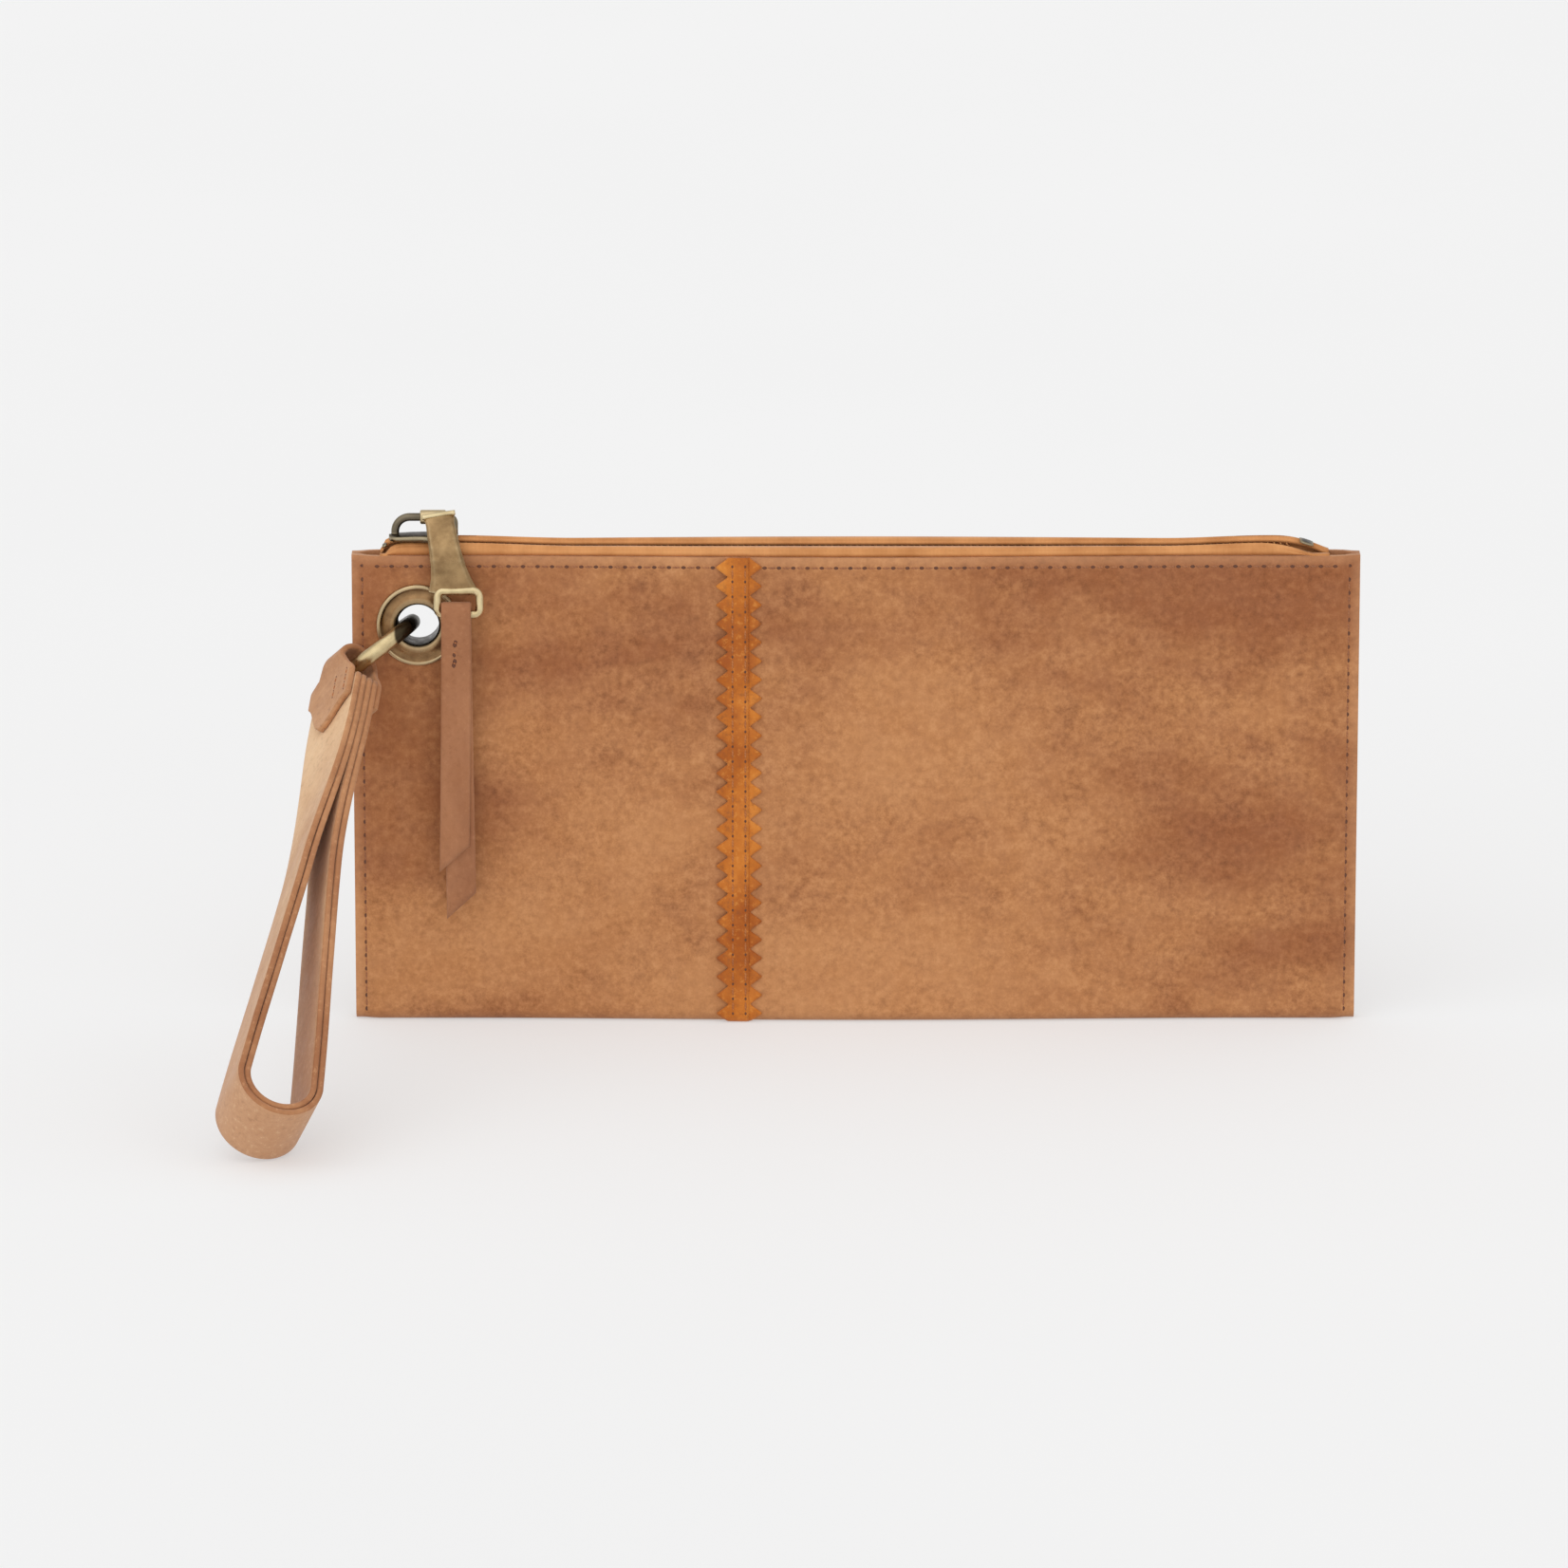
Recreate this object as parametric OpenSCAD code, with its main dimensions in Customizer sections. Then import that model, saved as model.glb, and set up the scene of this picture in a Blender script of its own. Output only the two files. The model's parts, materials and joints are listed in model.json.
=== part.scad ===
// Wristlet wallet with a zip top, a pinked trim strip, an eyelet, a ring and a wrist strap.
// Millimetres. The origin is the middle of the flat base; +X right, -Y front, +Z up.

/* [Body] */
// Width of the wallet between its two side edges
body_w = 241; // [230:1:255]
// Height of the leather panels
body_h = 115.5; // [110:0.5:125]
// Half of the thickness in the middle
mid_half = 5.4; // [5:0.1:6]
// Half of the thickness in the flat side zones
flat_half = 3.5; // [3.3:0.1:3.8]
// Distance from the middle to the start of the flat side zones
flat_x = 93.5; // [85:0.5:95]
// How much each panel is drawn in at the very edge
edge_pinch = 1.2; // [0.8:0.1:1.3]
// Thickness of the outer leather
leather_t = 1.3; // [1:0.1:1.4]
// Thickness of the lining cloth
lining_t = 0.5; // [0.3:0.1:0.5]

/* [Trim strip] */
// Middle of the trim strip, measured from the middle of the wallet
trim_x = -28; // [-40:1:-20]
// Full width over the teeth
trim_w = 11.2; // [10:0.2:13]
// Depth of one tooth
tooth_depth = 3; // [2:0.25:3.5]
// Number of teeth along one side
tooth_count = 25; // [20:1:28]
// Thickness of one trim layer
trim_t = 0.45; // [0.3:0.05:0.5]

/* [Stitching] */
// Distance between stitches
stitch_pitch = 3.38; // [3:0.02:4]
// Distance of a stitch row from the edge
stitch_inset = 2.5; // [2:0.1:3]
// Length of one stitch
stitch_len = 2.2; // [1.8:0.1:2.4]
// Diameter of the thread
thread_d = 0.5; // [0.3:0.05:0.5]

/* [Zip] */
// Height of the closed zip above the leather edge
zip_rise = 3.4; // [3:0.1:3.6]
// Half of the slot that the slider's wedge runs in
zip_gap = 0.45; // [0.4:0.05:0.5]
// Thickness of the zip tape
tape_t = 0.5; // [0.4:0.05:0.5]
// Left end of the zip tapes
zip_left = -113.9; // [-114.5:0.1:-113]
// Right end of the zip tapes
zip_right = 113.2; // [112:0.1:114]
// Pitch of the coil bumps
coil_pitch = 3; // [2.5:0.1:4]

/* [Slider and puller] */
// Left end of the slider when the zip is closed
slider_x = -111.7; // [-112:0.1:-111]
// Length of the slider
slider_len = 16.5; // [15:0.5:17]
// Width of the slider's top plate
slider_w = 7; // [6:0.2:7]
// Radius of the bail's wire
bail_r = 0.8; // [0.7:0.05:0.8]
// Height of the bail's top bar above the leather edge
bail_rise = 8.8; // [8.5:0.1:9.2]
// Length of the puller from the bail bar to its lower bar
puller_len = 21.8; // [20:0.2:24]
// Sideways lean of the hanging puller
puller_lean = 12.5; // [6:0.5:14]
// Width of the leather pull tab
tab_w = 7.2; // [6:0.2:7.6]
// Length of the front layer of the pull tab
tab_front = 64.5; // [50:0.5:68]
// Length of the back layer of the pull tab
tab_back = 76.5; // [60:0.5:80]

/* [Eyelet and ring] */
// Distance of the eyelet's centre from the left edge
eyelet_inset = 15.7; // [15:0.1:16.5]
// Distance of the eyelet's centre below the leather edge
eyelet_drop = 16.9; // [15:0.1:18]
// Outer radius of the eyelet's flange
eyelet_r = 10; // [9:0.25:10.5]
// Radius of the eyelet's hole
hole_r = 5; // [4.8:0.1:5.2]
// Radius of the ring's wire
wire_r = 1.85; // [1.7:0.05:1.9]
// Radius of the ring to the middle of its wire
ring_r = 10.85; // [10.5:0.05:11.2]
// Angle of the hanging ring below the horizontal
ring_droop = 37.7; // [34:0.5:39]
// Upward tilt of the ring's front half
ring_tilt = 8; // [0:1:10]

/* [Wrist strap] */
// Width of the strap
strap_w = 19; // [16:0.5:20]
// Thickness of one of the strap's two layers
layer_t = 1.55; // [1.3:0.05:1.6]
// Outer half-width of the open loop near its foot, to the middle of the strap
loop_half = 8.8; // [7:0.2:9]
// Angle round the ring, from its tip to the strap
wrap_angle = 52; // [50:1:56]
// Twist of the strap between the ring and its foot
strap_twist = 17; // [10:1:20]
// Width of the leather tab where it holds the ring
eye_w = 7; // [6.5:0.5:7.5]

/* [Hidden] */

half_w = body_w / 2;
seam_x = half_w - 4;
plan_step = 5;
pocket_x = half_w - 5;
eyelet_x = -half_w + eyelet_inset;
eyelet_z = body_h - eyelet_drop;
zip_top = body_h + zip_rise;
bail_z = body_h + bail_rise;
slack = 1;

leather_color = [0.74, 0.52, 0.34];
trim_color = [0.74, 0.42, 0.17];
tape_color = [0.78, 0.53, 0.32];
lining_color = [0.45, 0.36, 0.28];
thread_color = [0.38, 0.22, 0.13];
brass_color = [0.60, 0.50, 0.33];

// ---------------------------------------------------------------- helpers

// Half of the wallet's thickness at x: flat side zones, a low swell between them, a pinched edge.
function half_t(x) =
    let (a = min(abs(x), half_w), s = min(1, a / flat_x))
    flat_half + (mid_half - flat_half) * pow(1 - s * s, 2)
        - edge_pinch * max(0, a - seam_x) / (half_w - seam_x);

function unit(v) = v / norm(v);
function mix(a, b, t) = a + (b - a) * t;
function smooth(t) = let (c = max(0, min(1, t))) c * c * (3 - 2 * c);

// Places along x where the outlines turn, shared by every layer so that the layers nest.
function stations(x0, x1) =
    let (first = floor(x0 / plan_step + 0.01) + 1, last = ceil(x1 / plan_step - 0.01) - 1)
    concat([x0], [for (i = [first:last]) i * plan_step], [x1]);

// Half of the thickness on the straight line between two neighbouring places.
function half_line(x) =
    let (a = floor(x / plan_step + 0.001) * plan_step)
    mix(half_t(a), half_t(a + plan_step), (x - a) / plan_step);

// Plan outline between x0 and x1, moved out by grow.
module plan(grow, x0, x1) {
    xs = stations(x0, x1);
    n = len(xs) - 1;
    polygon(concat(
        [for (i = [0:n]) [xs[i], -half_line(xs[i]) - grow]],
        [for (i = [0:n]) [xs[n - i], half_line(xs[n - i]) + grow]]
    ));
}

// A tube or band through a list of rings that all have the same even number of points.
// Points k and m - 1 - k face each other across the section, so its ends close as a strip.
module sweep(rings) {
    n = len(rings);
    m = len(rings[0]);
    polyhedron(
        points = [for (r = rings) each r],
        faces = concat(
            [for (k = [0:m / 2 - 2]) [m - 1 - k, m - 2 - k, k + 1, k]],
            [for (k = [0:m / 2 - 2])
                [for (j = [k, k + 1, m - 2 - k, m - 1 - k]) (n - 1) * m + j]],
            [for (i = [0:n - 2]) for (j = [0:m - 2])
                [i * m + j, i * m + j + 1, (i + 1) * m + j + 1]],
            [for (i = [0:n - 2]) for (j = [0:m - 2])
                [i * m + j, (i + 1) * m + j + 1, (i + 1) * m + j]],
            [for (i = [0:n - 2]) [i * m + m - 1, i * m, (i + 1) * m + m - 1]],
            [for (i = [0:n - 2]) [i * m, (i + 1) * m, (i + 1) * m + m - 1]]
        ),
        convexity = 6
    );
}

// A cylinder along Y, centred on x, z.
module along_y(r, y0, y1, x, z) {
    translate([x, y0, z])
        rotate([-90, 0, 0])
            cylinder(r = r, h = y1 - y0, $fn = 96);
}

// ---------------------------------------------------------------- leather and lining

module section(x0, x1) {
    difference() {
        linear_extrude(height = body_h) plan(0, x0, x1);
        translate([0, 0, leather_t])
            linear_extrude(height = body_h)
                plan(-leather_t, x0 - slack, x1 + slack);
        along_y(barrel_r, -mid_half - slack, mid_half + slack, eyelet_x, eyelet_z);
    }
}

module shell_left() {
    color(leather_color) section(-half_w, trim_x);
}

module shell_right() {
    color(leather_color) section(trim_x, half_w);
}

hem_drop = 9;

module lining() {
    lining_h = body_h - hem_drop - leather_t;
    color(lining_color)
        translate([0, 0, leather_t])
            difference() {
                linear_extrude(height = lining_h) plan(-leather_t, -half_w, half_w);
                translate([0, 0, lining_t])
                    linear_extrude(height = body_h)
                        plan(-leather_t - lining_t, -pocket_x, pocket_x);
                along_y(barrel_r, -mid_half - slack, mid_half + slack, eyelet_x, eyelet_z - leather_t);
            }
}

// A flat panel that follows the inside of the lining. side is 1 for the back and -1 for the front.
module pocket_panel(layer, x0, x1, z0, z1, side) {
    inset = leather_t + lining_t + layer * panel_t;
    keep = side > 0 ? 0 : -2 * mid_half;
    translate([0, 0, z0])
        linear_extrude(height = z1 - z0)
            intersection() {
                difference() {
                    plan(-inset, x0, x1);
                    plan(-inset - panel_t, x0 - slack, x1 + slack);
                }
                translate([x0, keep])
                    square([x1 - x0, 2 * mid_half]);
            }
}

panel_t = 0.4;
card_x0 = -12;
card_x1 = 80;
pocket_z0 = leather_t + lining_t;
card_step = 13;
card_low_top = 48;

module card_backing() {
    color(lining_color) pocket_panel(0, card_x0, card_x1, pocket_z0, card_low_top + 3 * card_step, 1);
}

module card_tier(index) {
    color(lining_color)
        pocket_panel(index, card_x0, card_x1, pocket_z0, card_low_top + (3 - index) * card_step, 1);
}

module card_slot_top() {
    card_tier(1);
}

module card_slot_middle() {
    card_tier(2);
}

module card_slot_bottom() {
    card_tier(3);
}

module slip_pocket() {
    color(lining_color) pocket_panel(0, -86, -20, pocket_z0, 82, -1);
}

// ---------------------------------------------------------------- trim strip

tooth_pitch = body_h / tooth_count;
core_half = trim_w / 2 - tooth_depth;

// Straight on one side and pinked on the other. side is -1 for teeth on the left.
module trim_outline(side, straight_x) {
    steps = 2 * tooth_count;
    polygon(concat(
        [[trim_x + straight_x, 0]],
        [for (i = [0:steps])
            [trim_x + side * (core_half + (i % 2) * tooth_depth), i * tooth_pitch / 2]],
        [[trim_x + straight_x, body_h]]
    ));
}

module trim_layer(layer, side, straight_x, face) {
    color(trim_color)
        intersection() {
            linear_extrude(height = body_h)
                difference() {
                    plan((layer + 1) * trim_t, trim_x - trim_w, trim_x + trim_w);
                    plan(layer * trim_t, trim_x - 2 * trim_w, trim_x + 2 * trim_w);
                }
            translate([0, face > 0 ? 2 * mid_half : 0, 0])
                rotate([90, 0, 0])
                    linear_extrude(height = 2 * mid_half)
                        trim_outline(side, straight_x);
        }
}

upper_edge = 2.3;

module trim_front_lower() {
    trim_layer(0, 1, -core_half, -1);
}

module trim_front_upper() {
    trim_layer(1, -1, upper_edge, -1);
}

module trim_back_lower() {
    trim_layer(0, 1, -core_half, 1);
}

module trim_back_upper() {
    trim_layer(1, -1, upper_edge, 1);
}

// ---------------------------------------------------------------- stitching

stitch_count_top = floor((body_w - 4 * stitch_inset) / stitch_pitch);
stitch_count_side = floor((body_h - 3 * stitch_inset) / stitch_pitch);
trim_stitch_pitch = 3.6;
trim_row_half = 1.53;
trim_stitch_count = floor((body_h - 2 * stitch_inset) / trim_stitch_pitch);

// One stitch lying on the face, level or upright.
module stitch(x, z, grow, face, upright) {
    size_x = upright ? thread_d : stitch_len;
    size_z = upright ? stitch_len : thread_d;
    depth = thread_d / 2;
    y = face * (half_line(x - sign(x) * thread_d / 2) + grow + depth / 2);
    translate([x, y, z])
        cube([size_x, depth, size_z], center = true);
}

module top_row(face) {
    start = -stitch_pitch * (stitch_count_top - 1) / 2;
    color(thread_color)
        for (i = [0:stitch_count_top - 1]) {
            x = start + i * stitch_pitch;
            if (abs(x - trim_x) > trim_w / 2 + stitch_len)
                stitch(x, body_h - stitch_inset, 0, face, false);
        }
}

module side_rows(face) {
    color(thread_color)
        for (side = [-1, 1])
            for (i = [0:stitch_count_side - 1])
                stitch(side * (half_w - stitch_inset - 1.8), stitch_inset + stitch_pitch * (i + 0.5),
                       0, face, true);
}

module trim_rows(face) {
    color(thread_color)
        for (side = [-1, 1])
            for (i = [0:trim_stitch_count - 1])
                stitch(trim_x + side * trim_row_half, stitch_inset + trim_stitch_pitch * (i + 0.5),
                       2 * trim_t, face, true);
}

module top_stitches_front() {
    top_row(-1);
}

module top_stitches_back() {
    top_row(1);
}

module side_stitches_front() {
    side_rows(-1);
}

module side_stitches_back() {
    side_rows(1);
}

module trim_stitches_front() {
    trim_rows(-1);
}

module trim_stitches_back() {
    trim_rows(1);
}

// ---------------------------------------------------------------- zip

zip_flat_left = -110.5;
zip_flat_right = 105;
end_rise = 1.8;

// Height of the tape's crown at x: level, and falling away at both ends.
function crown(x) = body_h + end_rise + (zip_rise - end_rise)
    * min(smooth((x - zip_left) / (zip_flat_left - zip_left)),
          smooth((zip_right - x) / (zip_right - zip_flat_right)));

// Section of the front tape: up inside the leather, out over its edge and in to the slot.
function tape_ring(x) =
    let (inner = half_line(x) - leather_t - 0.04, shoulder = inner + 0.9, top = crown(x),
         bend = body_h + 0.45 * (top - body_h), low = body_h - hem_drop)
    [
        [x, -inner, low], [x, -inner, body_h + 0.1], [x, -shoulder, bend],
        [x, -shoulder + 0.5, top - 0.25], [x, -zip_gap, top],
        [x, -zip_gap, top - tape_t], [x, -shoulder + 0.5 + 0.7 * tape_t, top - 0.25 - tape_t],
        [x, -shoulder + tape_t, bend - 0.1], [x, -inner + tape_t, body_h + 0.1],
        [x, -inner + tape_t, low]
    ];

module tape() {
    n = 60;
    color(tape_color)
        sweep([for (i = [0:n]) tape_ring(mix(zip_left, zip_right, i / n))]);
}

module zip_tape_front() {
    tape();
}

module zip_tape_back() {
    mirror([0, 1, 0]) tape();
}

coil_r = 0.72;
coil_x0 = -109;
coil_x1 = 104;

// A coil of the zip: a thin rod with a bump at each turn.
module coil(side) {
    n = 2 * floor((coil_x1 - coil_x0) / coil_pitch);
    color(tape_color)
        sweep([for (i = [0:n])
            let (r = coil_r * (i % 2 == 0 ? 1 : 0.75), x = mix(coil_x0, coil_x1, i / n))
            [for (a = [300:-60:0])
                [x, side * (zip_gap + coil_r) + r * cos(a),
                 crown(x) - tape_t - coil_r - 0.1 + r * sin(a)]]
        ]);
}

module zip_coil_front() {
    coil(-1);
}

module zip_coil_back() {
    coil(1);
}

stop_w = 2.6;
stop_x = 106.2;

module zip_stop_left() {
    color(brass_color)
        translate([slider_x - 1.6, -stop_w / 2, crown(slider_x - 0.6) + 0.02])
            cube([1, stop_w, 1]);
}

module zip_stop_right() {
    color(brass_color)
        translate([stop_x, -slider_w * 0.35, crown(stop_x) + 0.02])
            cube([3.2, slider_w * 0.7, 0.9]);
}

// ---------------------------------------------------------------- slider and puller

plate_z = zip_top + 0.4;
plate_t = 1.2;
post_half = 0.25;
base_z = body_h + 0.35;
base_t = 0.5;

module slider_body() {
    nose_r = slider_w / 2;
    x1 = slider_x + slider_len;
    color(brass_color) {
        translate([0, 0, plate_z])
            linear_extrude(height = plate_t)
                intersection() {
                    union() {
                        translate([slider_x + nose_r, 0]) circle(r = nose_r, $fn = 48);
                        translate([slider_x + nose_r, -nose_r])
                            square([slider_len - nose_r, slider_w]);
                    }
                    translate([slider_x, -nose_r])
                        square([slider_len, slider_w]);
                }
        translate([slider_x + 6, -post_half, base_z])
            cube([4, 2 * post_half, plate_z - base_z + 0.1]);
        translate([slider_x + 2, -1.3, base_z])
            cube([slider_len - 4, 2.6, base_t]);
    }
}

bail_x0 = slider_x + 1.5;
bail_x1 = slider_x + slider_len - 0.9;
elbow_r = 1.5;

module bail_elbow(x, turn) {
    translate([x, 0, bail_z - elbow_r])
        rotate([90, 0, 0])
            rotate([0, 0, turn])
                rotate_extrude(angle = 90, $fn = 64)
                    translate([elbow_r, 0])
                        circle(r = bail_r, $fn = 32);
}

module slider_bail() {
    leg_z = plate_z + plate_t;
    color(brass_color) {
        for (x = [bail_x0, bail_x1])
            translate([x, 0, leg_z])
                cylinder(r = bail_r, h = bail_z - elbow_r - leg_z, $fn = 48);
        bail_elbow(bail_x0 + elbow_r, 90);
        bail_elbow(bail_x1 - elbow_r, 0);
        translate([bail_x0 + elbow_r, 0, bail_z])
            rotate([0, 90, 0])
                cylinder(r = bail_r, h = bail_x1 - bail_x0 - 2 * elbow_r, $fn = 48);
    }
}

curl_r = 1.75;
curl_bore = bail_r + 0.08;
puller_x = (bail_x0 + bail_x1) / 2 + 2;
curl_len = 6.4;
bar_r = 1;
plate_x = puller_x + 1.4;
bar_x = plate_x + puller_len * tan(puller_lean);
bar_y = -8.8;
bar_z = bail_z - puller_len;
loop_half_w = 6;
slot_half_w = 4.4;
slot_rise = 3.9;

// Side line of the hanging puller: over the zip's shoulder and down in front of the leather.
module puller_profile() {
    polygon([
        [-0.4, bail_z - curl_r + 0.3], [-4.2, plate_z + plate_t - 0.1], [-5.9, zip_top - 0.3],
        [-6.5, body_h], [-6.6, body_h - 5], [bar_y + bar_r, bar_z + 3], [bar_y + bar_r, bar_z],
        [bar_y - bar_r, bar_z], [bar_y - bar_r, bar_z + 3], [-7.9, body_h - 5],
        [-7.8, body_h], [-7.2, zip_top], [-5.2, plate_z + plate_t + 1.2], [-1.2, bail_z + 1.1]
    ]);
}

// Front outline of the puller, leaning sideways so that its bars stay level.
module puller_outline() {
    half = [[0, 3.9], [8, 3.9], [12, 4.3], [17, 5.2], [18.5, loop_half_w], [puller_len, loop_half_w]];
    function lean(d) = plate_x + d * tan(puller_lean);
    difference() {
        polygon(concat(
            [for (p = half) [lean(p[0]) - p[1], bail_z + 1.2 - p[0] * 1.055]],
            [for (i = [len(half) - 1:-1:0])
                [lean(half[i][0]) + half[i][1], bail_z + 1.2 - half[i][0] * 1.055]]
        ));
        translate([bar_x - slot_half_w, bar_z - slack])
            square([2 * slot_half_w, slack + bar_r + slot_rise]);
    }
}

module puller() {
    color(brass_color)
        difference() {
            union() {
                intersection() {
                    translate([bail_x0, 0, 0])
                        rotate([90, 0, 90])
                            linear_extrude(height = 30)
                                puller_profile();
                    rotate([90, 0, 0])
                        linear_extrude(height = 20)
                            puller_outline();
                }
                translate([puller_x - curl_len / 2, 0, bail_z])
                    rotate([0, 90, 0])
                        cylinder(r = curl_r, h = curl_len, $fn = 64);
                translate([bar_x - loop_half_w, bar_y, bar_z])
                    rotate([0, 90, 0])
                        cylinder(r = bar_r, h = 2 * loop_half_w, $fn = 48);
            }
            translate([puller_x - curl_len, 0, bail_z])
                rotate([0, 90, 0])
                    cylinder(r = curl_bore, h = 2 * curl_len, $fn = 48);
            translate([puller_x + curl_len / 2, -1.3, plate_z])
                cube([curl_len, 2.6, 10]);
        }
}

fold_bore = bar_r + 0.12;
tab_t = 1.15;
tab_x = bar_x - 0.6;
tab_end_cut = 42;

// Points along an arc, every ten degrees from one angle to the other.
function fold_arc(r, from, to) = [
    for (i = [0:22])
        r * [cos(from + (to - from) * i / 22), sin(from + (to - from) * i / 22)]
];

// One strip folded over the puller's lower bar, seen from its side.
module tab_profile() {
    join = 8;
    translate([bar_y, bar_z])
        polygon(concat(
            [[-tab_t, -tab_front], [-tab_t, -join]],
            fold_arc(fold_bore + tab_t, 200, -20),
            [
                [tab_t, -join], [tab_t, -tab_back], [0, -tab_back], [0, -tab_front - slack],
                [0.06, -tab_front - slack], [0.06, -join]
            ],
            fold_arc(fold_bore, -20, 200),
            [[-0.06, -join], [-0.06, -tab_front]]
        ));
}

// A slanting end, low on the left, cut from the layer between y0 and y1.
module tab_cut(z, y0, y1) {
    left = tab_x - tab_w / 2 - slack;
    right = tab_x + tab_w / 2 + slack;
    translate([0, y1, 0])
        rotate([90, 0, 0])
            linear_extrude(height = y1 - y0)
                polygon([
                    [left, z - slack], [right, z - slack],
                    [right, z + (right - left) * tan(tab_end_cut)], [left, z]
                ]);
}

module pull_tab() {
    color(leather_color)
        difference() {
            translate([tab_x - tab_w / 2, 0, 0])
                rotate([90, 0, 90])
                    linear_extrude(height = tab_w)
                        tab_profile();
            tab_cut(bar_z - tab_front, bar_y - 4, bar_y);
            tab_cut(bar_z - tab_back, bar_y, bar_y + 4);
        }
}

module pull_tab_stitches() {
    color(thread_color)
        for (i = [0:2])
            translate([tab_x - 1, bar_y - tab_t - thread_d / 4, bar_z - join_z - 2.7 * i])
                cube([1.6, thread_d / 2, thread_d], center = true);
}

join_z = 9;

// ---------------------------------------------------------------- eyelet and ring

barrel_r = hole_r + 0.6;
flange_t = 0.9;

module eyelet_front() {
    color(brass_color)
        translate([eyelet_x, 0, eyelet_z])
            rotate([90, 0, 0])
                rotate_extrude($fn = 96)
                    polygon([
                        [hole_r, -flat_half - flange_t], [barrel_r, -flat_half - flange_t],
                        [barrel_r, flat_half], [eyelet_r, flat_half],
                        [eyelet_r, flat_half + 0.6], [eyelet_r - 0.8, flat_half + flange_t],
                        [eyelet_r - 1.4, flat_half + 0.5], [barrel_r + 1.4, flat_half + 0.5],
                        [barrel_r + 0.5, flat_half + flange_t], [hole_r + 0.3, flat_half + flange_t],
                        [hole_r, flat_half + 0.4]
                    ]);
}

module eyelet_back() {
    color(brass_color)
        translate([eyelet_x, 0, eyelet_z])
            rotate([90, 0, 0])
                rotate_extrude($fn = 96)
                    polygon([
                        [barrel_r, -flat_half], [eyelet_r, -flat_half], [eyelet_r, -flat_half - 0.5],
                        [eyelet_r - 0.8, -flat_half - flange_t], [barrel_r, -flat_half - flange_t]
                    ]);
}

ring_shift = [-1.5, -1, 0];
ring_u = [-cos(ring_droop), 0, -sin(ring_droop)];
ring_v = [-sin(ring_tilt) * sin(ring_droop), -cos(ring_tilt), sin(ring_tilt) * cos(ring_droop)];
ring_center = [eyelet_x, 0, eyelet_z] + ring_shift + ring_r * ring_u;

module ring() {
    color(brass_color)
        translate(ring_center)
            rotate([0, -ring_droop, 0])
                rotate([-ring_tilt, 0, 0])
                    rotate_extrude($fn = 96)
                        translate([ring_r, 0])
                            circle(r = wire_r, $fn = 48);
}

// ---------------------------------------------------------------- wrist strap

strap_top = ring_center + ring_r * (cos(wrap_angle) * ring_u + sin(wrap_angle) * ring_v);
strap_foot = [-137.2, -125.2, 9.2];
strap_len = norm(strap_foot - strap_top);
along = unit(strap_foot - strap_top);
tangent = -sin(wrap_angle) * ring_u + cos(wrap_angle) * ring_v;
across_top = unit(tangent - (tangent * along) * along);
apart_top = cross(along, across_top);

// Width direction and gap direction at a distance down the strap.
function twist_at(p) = -strap_twist * smooth((p - twist_start) / twist_len);
function across(p) = cos(twist_at(p)) * across_top - sin(twist_at(p)) * apart_top;
function apart(p) = cross(along, across(p));

twist_start = 16;
twist_len = 50;
run_top = 8;
part_p = 26;
stack_half = 2 * layer_t + 0.05;
bend_p = strap_len - loop_half;

// Half of the gap between the two runs, to the middle of each run.
function run_q(p) = mix(layer_t + 0.05, loop_half,
    let (t = max(0, min(1, (p - part_p) / (bend_p - part_p)))) t * t * (2 - t));

run_steps = 22;
bend_steps = 14;

// The loop's middle line as [distance down, distance apart], down one run and up the other.
loop_line = concat(
    [for (i = [0:run_steps]) let (p = mix(run_top, bend_p, i / run_steps)) [p, run_q(p)]],
    [for (i = [1:bend_steps - 1]) let (a = 180 * i / bend_steps)
        [bend_p + loop_half * sin(a), loop_half * cos(a)]],
    [for (i = [run_steps:-1:0]) let (p = mix(run_top, bend_p, i / run_steps)) [p, -run_q(p)]]
);

// Outward normal of a line in the plane of the loop.
function line_normal(line, i) =
    let (a = line[max(0, i - 1)], b = line[min(len(line) - 1, i + 1)], d = unit(b - a))
    [-d[1], d[0]];

// Ring of a band whose middle is moved outward by lift.
function band_ring(line, i, lift, thick, width) =
    let (n = line_normal(line, i), c = line[i] + lift * n,
         inner = c - n * thick / 2, outer = c + n * thick / 2,
         w = across(line[i][0]) * width / 2, g = apart(line[i][0]))
    [
        strap_top + along * inner[0] + g * inner[1] - w,
        strap_top + along * outer[0] + g * outer[1] - w,
        strap_top + along * outer[0] + g * outer[1] + w,
        strap_top + along * inner[0] + g * inner[1] + w
    ];

module strap_outer() {
    color(leather_color)
        sweep([for (i = [0:len(loop_line) - 1])
            band_ring(loop_line, i, layer_t / 2 + 0.02, layer_t - 0.04, strap_w)]);
}

module strap_inner() {
    color(leather_color)
        sweep([for (i = [0:len(loop_line) - 1])
            band_ring(loop_line, i, -layer_t / 2 - 0.02, layer_t - 0.04, strap_w)]);
}

eye_r = 4.75;
eye_top = 5.1;
leg_q = stack_half + layer_t / 2 + 0.1;
leg_long = 20.6;
leg_short = 15;

// Line of the leather tab: up one side, round the ring's wire and down the other side.
tab_line = concat(
    [for (p = [leg_long:-3:6]) [p, leg_q]],
    [[3, leg_q + 0.1]],
    [for (a = [90:-15:-90]) [-eye_top * cos(a), eye_r * sin(a)]],
    [[3, -leg_q - 0.1]],
    [for (p = [6:3:leg_short]) [p, -leg_q]]
);

function tab_width(p) = mix(eye_w, strap_w - 1, smooth((p - 1) / 10));

// Shift of the tab's far side up the strap, which gives the long leg its slanting end.
function tab_slant(c) = c[1] > 0 ? 0.8 * max(0, c[0] - 3) : 0;

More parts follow.
